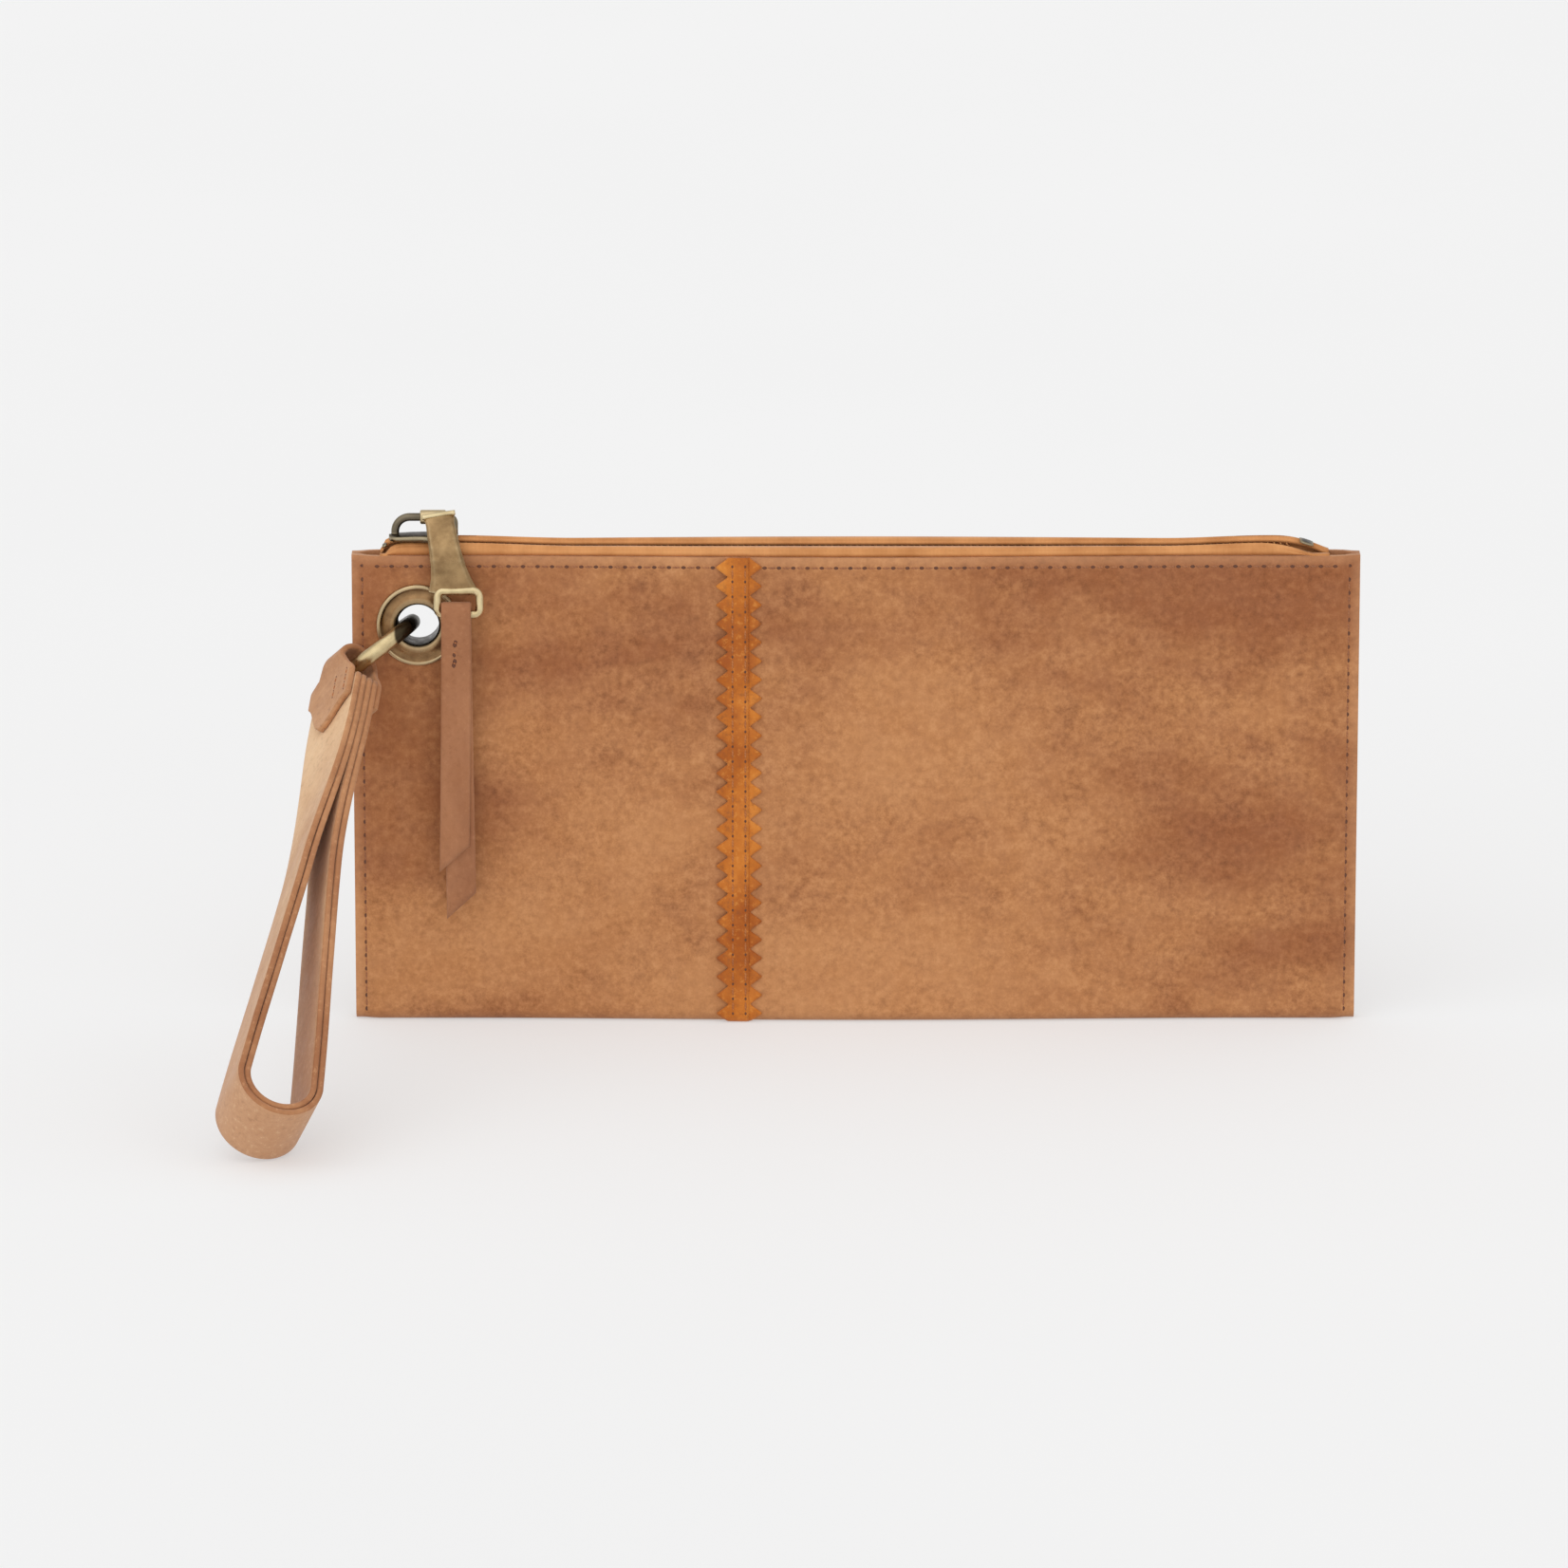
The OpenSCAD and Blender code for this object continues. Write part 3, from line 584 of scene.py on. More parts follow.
def panel(name, x0, x1, node):
    cols = max(8, int((x1 - x0) / (1.9 * MM)))
    xs = [mix(x0, x1, i / cols) for i in range(cols + 1)]
    outer = [[vec(x, y, z) for y, z in u_line(x, 0.0)] for x in xs]
    inner = [[vec(x, y, z) for y, z in u_line(x, seam_lift(x))] for x in xs]
    obj = slab(name, outer, inner, [PANEL, EDGE], edge=1)
    if x0 < EYELET[0] < x1:
        r = BARREL_R + 0.05 * MM
        turns = [2 * math.pi * k / 64 for k in range(64)]
        ends = [[EYELET + vec(r * math.cos(a), y, r * math.sin(a)) for a in turns]
                for y in (9 * MM, -9 * MM)]
        cutter = ring_sweep("cutter", ends, [EDGE])
        modified(obj, "BOOLEAN", operation="DIFFERENCE", object=cutter, solver="EXACT")
        bpy.data.objects.remove(cutter)
    rounded(obj, 0.28 * MM, 2, 60)
    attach(obj, "wallet_body")
    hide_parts(node)


panel("leather_left", left_low[0] - 0.14 * MM, SEAM_X - 0.05 * MM, "shell_left")
panel("leather_right", SEAM_X + 0.05 * MM, HALF_W + 0.14 * MM, "shell_right")


# ------------------------------------------------------------------ trim strip

TEETH = 25
TOOTH_PITCH = HEIGHT / TEETH
TRIM_HALF = 5.6 * MM
TOOTH_DEPTH = 3 * MM
TRIM_T = 0.45 * MM
UPPER_EDGE = 2.3 * MM


def tooth(z):
    """Reach of a pinked edge at height z: a triangle wave with slightly rounded tips."""
    t = (z / TOOTH_PITCH) % 1.0
    wave = 1 - abs(2 * t - 1)
    wave = 0.5 + (wave - 0.5) * 1.04
    ease = 0.10
    if wave > 1 - ease:
        wave = 1 - ease + ease * 0.6 * math.sin((wave - 1 + ease) / ease * math.pi / 2)
    return TRIM_HALF - TOOTH_DEPTH + TOOTH_DEPTH * max(0.0, wave)


def trim_strip(name, node, face, layer, teeth_side, straight):
    steps = TEETH * 12
    outer, inner = [], []
    for i in range(steps + 1):
        z = mix(0.15 * MM, HEIGHT + 0.1 * MM, i / steps)
        tip = teeth_side * tooth(z)
        row_out, row_in = [], []
        for j in range(8):
            x = SEAM_X + mix(straight, tip, j / 7)
            y = half_t(x) + wobble(x, min(z, HEIGHT)) + layer * TRIM_T + 0.02 * MM
            drop = 0 if z > FOLD_R else FOLD_R - math.sqrt(max(0, FOLD_R ** 2 - (FOLD_R - z) ** 2))
            rim = 0.12 * MM if j in (0, 7) else 0
            row_out.append(vec(x, face * (y + TRIM_T - rim - 0.6 * drop), z))
            row_in.append(vec(x, face * (y - 0.1 * MM - 0.6 * drop), z))
        outer.append(row_out)
        inner.append(row_in)
    obj = slab(name, outer, inner, [TRIM])
    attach(obj, "wallet_body")
    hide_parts(node)


for label, side in (("front", -1), ("back", 1)):
    trim_strip("pinked_strip_lower_" + label, "trim_%s_lower" % label, side, 0, 1, -2.4 * MM)
    trim_strip("pinked_strip_upper_" + label, "trim_%s_upper" % label, side, 1, -1, UPPER_EDGE)


# ------------------------------------------------------------------ stitching

PITCH = 3.38 * MM
INSET = 2.5 * MM


def bead(points, faces, picks, centre, run, out, length, width, height, pick):
    """Adds one stitch or needle hole to a shared mesh: a low rounded lozenge."""
    run, out = unit(run), unit(out)
    cross = np.cross(out, run)
    start = len(points)
    rings, sides = 5, 8
    for i in range(rings):
        t = -1 + 2 * i / (rings - 1)
        r = math.sqrt(max(0.05, 1 - t * t))
        for k in range(sides):
            a = 2 * math.pi * k / sides
            points.append(centre + run * (t * length / 2) + cross * (r * width / 2 * math.cos(a))
                          + out * (r * height * math.sin(a)))
    for i in range(rings - 1):
        for k in range(sides):
            m = (k + 1) % sides
            faces.append((start + i * sides + k, start + i * sides + m,
                          start + (i + 1) * sides + m, start + (i + 1) * sides + k))
            picks.append(pick)
    faces.append(tuple(start + k for k in range(sides)))
    faces.append(tuple(start + (rings - 1) * sides + k for k in range(sides - 1, -1, -1)))
    picks += [pick, pick]


def stitch_row(places, run, out, thread_len=1.9 * MM, width=0.5 * MM, hole=1.15 * MM):
    """Stitches between needle holes. Returns points, faces and material numbers."""
    points, faces, picks = [], [], []
    run = unit(run)
    for i, p in enumerate(places):
        # Each needle hole is a dark lozenge: painted shade in the hole.
        bead(points, faces, picks, p, run, out, hole, hole * 0.7, 0.06 * MM, 1)
        if i < len(places) - 1:
            q = places[i + 1]
            bead(points, faces, picks, (p + q) / 2, q - p, out, thread_len, width, 0.13 * MM, 0)
    return points, faces, picks


def stitch_piece(name, rows, node, body, mats):
    points, faces, picks = [], [], []
    for p, f, k in rows:
        shift = len(points)
        points += p
        faces += [tuple(v + shift for v in face) for face in f]
        picks += k
    obj = make(name, points, faces, mats, picks)
    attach(obj, body)
    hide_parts(node)


def on_face(x, z, side):
    return vec(x, side * face_y(x, z), z)


def count_between(a, b, pitch):
    return int(abs(b - a) / pitch)


for label, side in (("front", -1), ("back", 1)):
    out = vec(0, side, 0)
    z_top = HEIGHT - INSET
    rows = []
    for a, b in ((-HALF_W + INSET, SEAM_X - 6.2 * MM), (SEAM_X + 6.2 * MM, HALF_W - INSET)):
        n = count_between(a, b, PITCH)
        places = [on_face(mix(a, b, i / n), z_top, side) for i in range(n + 1)]
        rows.append(stitch_row(places, vec(1, 0, 0), out))
    stitch_piece("top_seam_" + label, rows, "top_stitches_" + label, "wallet_body", [THREAD, HOLE_SHADE])
    rows = []
    for x in (-HALF_W + INSET, HALF_W - INSET):
        n = count_between(2.5 * MM, z_top, PITCH)
        places = [on_face(x, mix(2.8 * MM, z_top - PITCH, i / n), side) for i in range(n + 1)]
        rows.append(stitch_row(places, vec(0, 0, 1), out))
    stitch_piece("side_seam_" + label, rows, "side_stitches_" + label, "wallet_body", [THREAD, HOLE_SHADE])
    rows = []
    for dx in (-1.53 * MM, 1.53 * MM):
        n = count_between(2 * MM, HEIGHT - 2 * MM, 3.6 * MM)
        x = SEAM_X + dx
        places = [vec(x, side * (half_t(x) + wobble(x, z) + 2 * TRIM_T + 0.02 * MM), z)
                  for z in (mix(2.4 * MM, HEIGHT - 2 * MM, i / n) for i in range(n + 1))]
        rows.append(stitch_row(places, vec(0, 0, 1), out, 2.3 * MM, 0.5 * MM, 0.75 * MM))
    stitch_piece("trim_seam_" + label, rows, "trim_stitches_" + label, "wallet_body", [TRIM_THREAD, HOLE_SHADE])


# ------------------------------------------------------------------ zip

tape_low, tape_high = corners("zip_tape_front")
ZIP_LEFT, ZIP_RIGHT = tape_low[0], tape_high[0]
ZIP_TOP = tape_high[2]
ZIP_GAP = 0.45 * MM
TAPE_T = 0.55 * MM
slider_low, slider_high = corners("slider_body")


def crown(x, side=1):
    """Height of the tape's hump: high at the slider, lower along the middle and on the front."""
    front = side < 0
    rise = ZIP_TOP - HEIGHT - (1.1 * MM if front else 0.0)
    start = ZIP_LEFT + (1.7 * MM if front else 0.0)
    stop = ZIP_RIGHT - (4.5 * MM if front else 0.0)
    climb = max(0.0, min(1.0, (x - start) / (4.6 * MM)))
    fall = max(0.0, min(1.0, (x - stop + 13 * MM) / (13 * MM)))
    dip = 0.75 * MM * smooth((x + 96 * MM) / (30 * MM)) * smooth((99 * MM - x) / (26 * MM))
    arch = min(math.sqrt(1 - (1 - climb) ** 2), 1 - 0.94 * fall ** 2)
    return HEIGHT - 0.3 * MM + (rise + 0.3 * MM) * arch - dip


def tape_ring(x, side):
    inner = min(half_t(x), face_y(x, HEIGHT)) - LEATHER_T - 0.03 * MM
    top = crown(x, side)
    shoulder = inner + 0.75 * MM
    rise = top - HEIGHT
    outline = [(inner, HEIGHT - 8.6 * MM), (inner, HEIGHT - 3 * MM), (inner + 0.02 * MM, HEIGHT - 0.2 * MM),
               (shoulder - 0.15 * MM, HEIGHT + 0.2 * rise), (shoulder, HEIGHT + 0.45 * rise),
               (shoulder - 0.1 * MM, HEIGHT + 0.72 * rise), (shoulder - 0.55 * MM, HEIGHT + 0.93 * rise),
               (shoulder - 1.25 * MM, top), (max(ZIP_GAP + 1.0 * MM, shoulder - 2.3 * MM), top + 0.02 * MM),
               (ZIP_GAP + 0.55 * MM, top - 0.12 * MM),
               (ZIP_GAP + 0.12 * MM, top - (0.45 if side < 0 else 0.9) * MM)]
    pts = [vec(x, side * y, z) for y, z in outline]
    back = []
    for i, (y, z) in enumerate(outline):
        a = outline[max(0, i - 1)]
        b = outline[min(len(outline) - 1, i + 1)]
        d = unit(vec(b[0] - a[0], b[1] - a[1]))
        back.append(vec(x, side * (y - d[1] * TAPE_T), z - d[0] * TAPE_T))
    return pts + back[::-1]


for label, side in (("front", -1), ("back", 1)):
    n = 170
    rings = [tape_ring(mix(ZIP_LEFT, ZIP_RIGHT, i / n), side) for i in range(n + 1)]
    tape = ring_sweep("zip_cloth_" + label, rings, [TAPE])
    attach(tape, "wallet_body")
    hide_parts("zip_tape_" + label)


def coil_piece(label, side):
    """One side of the zip's coil as a wound wire under the tape."""
    low, high = corners("zip_coil_" + label)
    turns = int((high[0] - low[0]) / (1.5 * MM))
    steps = turns * 9
    cy, cz = (low[1] + high[1]) / 2, (low[2] + high[2]) / 2
    path = []
    for i in range(steps + 1):
        a = 2 * math.pi * turns * i / steps
        x = mix(low[0], high[0], i / steps)
        top = crown(x, side) + (1.1 * MM if side < 0 else 0.0)
        dip = 0.8 * MM - (top - (ZIP_TOP - 0.8 * MM))
        path.append(vec(x, cy + 0.52 * MM * math.cos(a), cz - max(0, dip) + 0.42 * MM * math.sin(a)))
    obj = tube("coil_" + label, path, 0.17 * MM, TAPE, sides=6)
    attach(obj, "wallet_body")
    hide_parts("zip_coil_" + label)


coil_piece("front", -1)
coil_piece("back", 1)


def end_stop(name, node):
    """A small folded metal stop that clamps the end of the zip and leans with it."""
    low, high = corners(node)
    c = (low + high) / 2
    half = (high - low) / 2
    sink = min(1.6 * MM, ZIP_TOP - crown(c[0]) - 0.1 * MM)
    slope = (crown(c[0] + half[0]) - crown(c[0] - half[0])) / (2 * half[0])
    slope = max(-0.45, min(0.45, slope))
    rings = []
    for i in range(7):
        t = -1 + 2 * i / 6
        pull = math.sqrt(1 - (0.55 * t) ** 2)
        x = c[0] + half[0] * t
        z = c[2] - max(0.0, sink) + slope * half[0] * t
        rings.append([vec(x, c[1] + half[1] * pull * math.cos(a), z + half[2] * pull * math.sin(a))
                      for a in (2 * math.pi * k / 16 for k in range(16))])
    obj = ring_sweep(name, rings, [STEEL])
    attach(obj, "wallet_body")
    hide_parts(node)


end_stop("zip_end_left", "zip_stop_left")
end_stop("zip_end_right", "zip_stop_right")


# ------------------------------------------------------------------ slider and bail

SLIDE_Z = slider_high[2]
SLIDE_HALF = (slider_high[1] - slider_low[1]) / 2
SLIDE_LEN = slider_high[0] - slider_low[0]


def slider_half(t):
    """Half width of the slider's plate along its length: a blunt nose and a flared tail."""
    nose = math.sqrt(max(0.0, 1 - (1 - min(1.0, t / 0.16)) ** 2))
    waist = 0.80 + 0.20 * smooth((t - 0.35) / 0.4)
    tail = math.sqrt(max(0.0, 1 - max(0.0, (t - 0.93) / 0.07) ** 2 * 0.55))
    return SLIDE_HALF * max(0.12, nose) * waist * tail


def slider_plate():
    rings = []
    for i in range(49):
        t = i / 48
        w = slider_half(t)
        x = slider_low[0] + SLIDE_LEN * t
        lift = 0.35 * MM * math.sin(math.pi * t)
        ring = []
        for k in range(13):
            s = -1 + 2 * k / 12
            dome = 0.55 * MM * (1 - abs(s) ** 2.4)
            ring.append(vec(x, w * s, SLIDE_Z - 0.95 * MM + lift + dome))
        for k in range(13):
            s = 1 - 2 * k / 12
            low = 0.75 * MM if k in (0, 12) else 0.25 * MM
            ring.append(vec(x, w * s * 0.97, SLIDE_Z - 1.0 * MM - low))
        rings.append(ring)
    return ring_sweep("slider_plate_part", rings, [STEEL])


def slider_post():
    z0 = slider_low[2]
    cx = slider_low[0] + 8 * MM
    rings = []
    for z, lx, ly in ((z0 + 0.4 * MM, 2.3, 0.25), (z0 + 1 * MM, 2.0, 0.22), (SLIDE_Z - 1.6 * MM, 2.0, 0.22),
                      (SLIDE_Z - 1.1 * MM, 2.4, 0.25)):
        rings.append([vec(cx + lx * MM * math.cos(a), ly * MM * math.sin(a), z)
                      for a in (2 * math.pi * k / 20 for k in range(20))])
    return ring_sweep("slider_post_part", rings, [STEEL])


def slider_base():
    z0 = slider_low[2]
    rings = []
    for i in range(25):
        t = i / 24
        w = 1.3 * MM * math.sqrt(max(0.05, 1 - (2 * t - 1) ** 6))
        x = slider_low[0] + 2 * MM + (SLIDE_LEN - 4 * MM) * t
        rings.append([vec(x, w * math.cos(a), z0 + 0.25 * MM + 0.24 * MM * math.sin(a))
                      for a in (2 * math.pi * k / 16 for k in range(16))])
    return ring_sweep("slider_base_part", rings, [STEEL])


slider = joined("zip_slider", [slider_plate(), slider_post(), slider_base()])
slider.data.polygons.foreach_set("use_smooth", [True] * len(slider.data.polygons))
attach(slider, "slider")
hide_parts("slider_body")

bail_low, bail_high = corners("slider_bail")
BAIL_R = (bail_high[1] - bail_low[1]) / 2


def bail_path():
    x0, x1 = bail_low[0] + BAIL_R, bail_high[0] - BAIL_R
    z0, z1 = bail_low[2] - 0.35 * MM, bail_high[2] - BAIL_R
    r = 3.5 * MM
    path = [vec(x0, 0, z0), vec(x0, 0, mix(z0, z1 - r, 0.5)), vec(x0, 0, z1 - r)]
    for k in range(1, 13):
        a = math.pi / 2 * k / 12
        path.append(vec(x0 + r - r * math.cos(a), 0, z1 - r + r * math.sin(a)))
    path += [vec(mix(x0 + r, x1 - 1.5 * MM, k / 6), 0, z1) for k in range(1, 6)]
    r = 1.5 * MM
    for k in range(9):
        a = math.pi / 2 * (1 - k / 8)
        path.append(vec(x1 - r + r * math.cos(a), 0, z1 - r + r * math.sin(a)))
    return path + [vec(x1, 0, mix(z0, z1 - r, 0.5)), vec(x1, 0, z0)]


bail = tube("slider_bail_wire", bail_path(), 1.2 * BAIL_R, STEEL, sides=20)
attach(bail, "slider")
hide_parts("slider_bail")


# ------------------------------------------------------------------ puller

puller_low = corners("puller")[0]
BAR_X, BAR_Y, BAR_Z = PULL_BAR
TOP_X = BAIL_BAR[0] + 1.4 * MM
TOP_Z = BAIL_BAR[2] + 0.9 * MM
SLOT_TOP = BAR_Z + 5.0 * MM
PLATE_FRONT = [(125.4, -1.5), (124.2, -2.9), (122.6, -4.6), (120.6, -6.1), (118.4, -7.3), (115.4, -8.0),
               (112.0, -8.15), (109.0, -8.5), (106.6, -9.1), (104.0, -9.6), (101.0, -9.65)]
PLATE_HALF = [(125.4, 3.9), (123.4, 3.35), (118.0, 3.75), (114.0, 4.2), (111.0, 4.8), (109.4, 5.4),
              (108.0, 6.0), (106.0, 6.1)]


def lookup(table, z):
    """Value at a height from a falling table in millimetres, in metres."""
    heights = [a * MM for a, b in table][::-1]
    values = [b * MM for a, b in table][::-1]
    return float(np.interp(z, heights, values))


def plate_centre(z):
    return mix(TOP_X, BAR_X, (TOP_Z - z) / (TOP_Z - BAR_Z))


def puller_plate():
    rows, cols = 44, 20
    front, back = [], []
    for i in range(rows + 1):
        z = mix(TOP_Z, SLOT_TOP + 0.15 * MM, i / rows)
        tilt = 0.14 * (1 - smooth(i / rows))
        row_f, row_b = [], []
        for j in range(cols + 1):
            s = -1 + 2 * j / cols
            half = lookup(PLATE_HALF, z)
            x = plate_centre(z) + half * s
            zz = z + tilt * half * s
            crown_out = 0.45 * MM * (1 - s * s)
            bevel = 0.45 * MM * smooth((abs(s) - 0.78) / 0.22)
            y = lookup(PLATE_FRONT, zz) - crown_out + 0.35 * MM
            row_f.append(vec(x, y + bevel, zz))
            row_b.append(vec(x, y + 1.15 * MM + 0.7 * crown_out - 0.3 * bevel, zz))
        front.append(row_f)
        back.append(row_b)
    obj = slab("puller_plate_part", front, back, [BRASS])
    return rounded(obj, 0.16 * MM, 2, 45)


def puller_roll():
    """The rolled edge along the top of the plate, in the paler rubbed brass: partly rubbed wear and partly a
    painted highlight.
    """
    path = []
    for i in range(13):
        s = -1 + 2 * i / 12
        z = TOP_Z + 0.14 * 3.9 * MM * s
        path.append(vec(TOP_X + 3.95 * MM * s, lookup(PLATE_FRONT, z) + 0.15 * MM, z))
    return tube("puller_roll_part", path, 0.62 * MM, BRASS_PALE, sides=14)


def puller_curl():
    """The short sleeve that wraps the slider's bail."""
    x0, x1 = puller_low[0] + 0.15 * MM, BAIL_BAR[0] + 3.1 * MM
    outline = [(0.88, x0 + 0.2 * MM), (1.5, x0), (1.72, x0 + 0.25 * MM), (1.72, x1 - 0.25 * MM), (1.5, x1),
               (0.88, x1 - 0.2 * MM)]
    rings = []
    for k in range(40):
        a = 2 * math.pi * k / 40
        rings.append([vec(x, r * MM * math.cos(a), BAIL_BAR[2] + r * MM * math.sin(a)) for r, x in outline])
    return ring_sweep("puller_curl_part", rings, [BRASS], closed=True)


def puller_loop():
    """The rectangular loop at the foot, with a round lower bar for the leather tab."""
    half, r = 5.05 * MM, 1.5 * MM
    z0, z1 = BAR_Z, SLOT_TOP + 0.55 * MM
    path = []
    for cx, cz, start in ((half - r, z1 - r, 90), (half - r, z0 + r, 0),
                          (r - half, z0 + r, -90), (r - half, z1 - r, 180)):
        for k in range(7):
            a = math.radians(start - 90 * k / 6)
            x, z = BAR_X + cx + r * math.cos(a), cz + r * math.sin(a)
            y = mix(BAR_Y, lookup(PLATE_FRONT, z) + 0.8 * MM, smooth((z - BAR_Z - 0.6 * MM) / (2.4 * MM)))
            path.append(vec(x, y, z))
    return tube("puller_loop_part", path, 1.0 * MM, BRASS_PALE, sides=16, closed=True)


puller = joined("zip_puller", [puller_plate(), puller_roll(), puller_curl(), puller_loop()])
puller.data.polygons.foreach_set("use_smooth", [True] * len(puller.data.polygons))
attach(puller, "puller")
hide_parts("puller")


# ------------------------------------------------------------------ pull tab

tab_low, tab_high = corners("pull_tab")
TAB_X = (tab_low[0] + tab_high[0]) / 2
TAB_HALF = (tab_high[0] - tab_low[0]) / 2 - 0.05 * MM
TAB_T = 1.1 * MM
TAB_BORE = 1.14 * MM
TAB_JOIN = 8 * MM
FRONT_LEN = 64.5 * MM
BACK_LEN = BAR_Z - tab_low[2] + 0.9 * MM


def tab_mid(side, d):
    """Depth of one layer's middle at a distance down: parted at the bar, together below."""
    apart = (TAB_BORE + TAB_T / 2) * math.sqrt(max(0.0, 1 - min(1, d / (TAB_JOIN * 1.25)) ** 1.5))
    return BAR_Y + side * max(apart, TAB_T / 2 + 0.02 * MM)


def tab_end(front, s):
    """Length of a layer at s across: cut on a slant that rises to the right."""
    base = FRONT_LEN if front else BACK_LEN
    return base - (0.9 + 6.5 * (s + 1) / 2) * MM


def tab_drift(front, d):
    """Sideways drift of a layer: the front one hangs to the left, the back one to the right."""
    return (-1.1 if front else 0.8) * MM * (d / BACK_LEN) ** 1.3


def pull_tab_strip():
    cols = 12
    outer, inner = [], []
    down = [i / 34 for i in range(35)]
    stations = [("front", t) for t in down[::-1]]
    stations += [("bend", t / 14) for t in range(1, 14)]
    stations += [("back", t) for t in down]
    for kind, t in stations:
        row_o, row_i = [], []
        for j in range(cols + 1):
            s = -1 + 2 * j / cols
            edge = 0.14 * MM * smooth((abs(s) - 0.86) / 0.14)
            if kind == "bend":
                a = math.pi * t
                r = TAB_BORE + TAB_T / 2
                x = TAB_X + TAB_HALF * s
                c = vec(x, BAR_Y - r * math.cos(a), BAR_Z + (r + 0.8 * MM) * math.sin(a))
                n = vec(0, -math.cos(a), math.sin(a))
            else:
                front = kind == "front"
                side = -1 if front else 1
                d = tab_end(front, s) * t
                x = TAB_X + TAB_HALF * s + tab_drift(front, d)
                ripple = 0.10 * MM * noise.noise(Vector((s * 1.3, side * 2.0, d * 60)))
                c = vec(x, tab_mid(side, d) + ripple * min(1, d / TAB_JOIN), BAR_Z - d)
                n = vec(0, side, 0)
            row_o.append(c + n * (TAB_T / 2 - edge))
            row_i.append(c - n * (TAB_T / 2 - edge))
        outer.append(row_o)
        inner.append(row_i)
    obj = slab("leather_pull_tab", outer, inner, [TAB, EDGE], edge=1)
    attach(obj, "pull_tab")
    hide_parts("pull_tab")


pull_tab_strip()

tab_rows = []
for i in range(3):
    z = BAR_Z - (6.6 + 2.6 * i) * MM
    y = tab_mid(-1, BAR_Z - z) - TAB_T / 2 - 0.05 * MM
    c = vec(TAB_X - (0.2 + 0.15 * i) * MM, y, z)
    lean = vec(0.12, 0, 0.45) * MM
    tab_rows.append(stitch_row([c - lean, c + lean], vec(0, 0, 1), vec(0, -1, 0),
                               0.4 * MM, 0.5 * MM, 1.3 * MM))
stitch_piece("pull_tab_thread", tab_rows, "pull_tab_stitches", "pull_tab", [TRIM_THREAD, HOLE_SHADE])


# ------------------------------------------------------------------ eyelet

EYE_FRONT = [(10.0, 3.42), (10.0, 3.85), (9.82, 4.18), (9.5, 4.38), (9.15, 4.36), (8.92, 4.16), (8.75, 3.98),
             (8.2, 3.9), (7.6, 3.95), (7.1, 4.1), (6.6, 4.32), (6.0, 4.4), (5.5, 4.3), (5.15, 4.02),
             (5.0, 3.6), (5.0, 1.2), (5.0, -1.2), (5.0, -4.1), (5.15, -4.36), (5.55, -4.36), (5.6, -4.1),
             (5.6, 0.0), (5.6, 3.42)]
EYE_BACK = [(10.0, 3.42), (10.0, 3.9), (9.7, 4.25), (9.2, 4.38), (8.0, 4.4), (6.6, 4.4), (5.95, 4.25),
            (5.68, 3.9), (5.68, 3.42)]


def eyelet(name, node, profile, side, material):
    obj = lathe(name, [(r * MM, y * MM) for r, y in profile], EYELET, material, 120, side)
    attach(obj, "wallet_body")
    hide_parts(node)


eyelet("eyelet_face", "eyelet_front", EYE_FRONT, -1, EYELET_BRASS)
eyelet("eyelet_washer", "eyelet_back", EYE_BACK, 1, EYELET_BRASS)


# ------------------------------------------------------------------ ring

RING_R = np.linalg.norm(STRAP_TOP - RING_C)
ring_out = (STRAP_TOP - RING_C) / RING_R
ring_along = unit(STRAP_TANGENT)
rings = []
for i in range(120):
    a = 2 * math.pi * i / 120
    d = ring_out * math.cos(a) + ring_along * math.sin(a)
    n = np.cross(ring_out, ring_along)
    c = RING_C + d * RING_R
    rings.append([c + WIRE_R * (math.cos(b) * d + math.sin(b) * n)
                  for b in (2 * math.pi * k / 28 for k in range(28))])
ring = ring_sweep("split_free_ring", rings, [BRASS_PALE], closed=True)
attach(ring, "ring")
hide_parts("ring")


# ------------------------------------------------------------------ wrist strap

STRAP_LEN = 141.42 * MM
STRAP_W = 19 * MM
LAYER = 1.55 * MM
LOOP_HALF = 8.8 * MM
PART_P = 26 * MM
BEND_P = STRAP_LEN - LOOP_HALF


def twist_at(p):
    return math.radians(-17) * smooth((p - 16 * MM) / (50 * MM))


def across(p):
    return math.cos(twist_at(p)) * ACROSS_TOP - math.sin(twist_at(p)) * APART_TOP


def apart(p):
    return np.cross(STRAP_DIR, across(p))


def strap_point(p, q, w):
    return STRAP_TOP + STRAP_DIR * p + apart(p) * q + across(p) * w


def run_q(p):
    t = max(0.0, min(1.0, (p - PART_P) / (BEND_P - PART_P)))
    return mix(LAYER + 0.05 * MM, LOOP_HALF, t * t * (2 - t))


def loop_line(top):
    down = [(mix(top, BEND_P, i / 80), run_q(mix(top, BEND_P, i / 80))) for i in range(81)]
    bend = [(BEND_P + LOOP_HALF * math.sin(a), LOOP_HALF * math.cos(a)) for a in
            (math.pi * i / 40 for i in range(1, 40))]
    return down + bend + [(p, -q) for p, q in down[::-1]]


def line_normal(line, i):
    a, b = line[max(0, i - 1)], line[min(len(line) - 1, i + 1)]
    d = np.array([b[0] - a[0], b[1] - a[1]])
    d = d / np.linalg.norm(d)
    return np.array([-d[1], d[0]])


def band_outline(half, thick, soft):
    """Section of one layer: width and depth from its middle, with softly turned edges."""
    pts = []
    for k in range(11):
        s = -1 + 2 * k / 10
        pts.append((half * s * (1 - soft / half), thick / 2))
    for a in (60, 30, 0, -30, -60):
        b = math.radians(a)
        pts.append((half - soft + soft * math.cos(b), (thick / 2) * math.sin(b)))
    for k in range(11):
        s = 1 - 2 * k / 10
        pts.append((half * s * (1 - soft / half), -thick / 2))
    for a in (-60, -30, 0, 30, 60):
        b = math.radians(a)
        pts.append((-(half - soft + soft * math.cos(b)), (thick / 2) * math.sin(b)))
    return pts


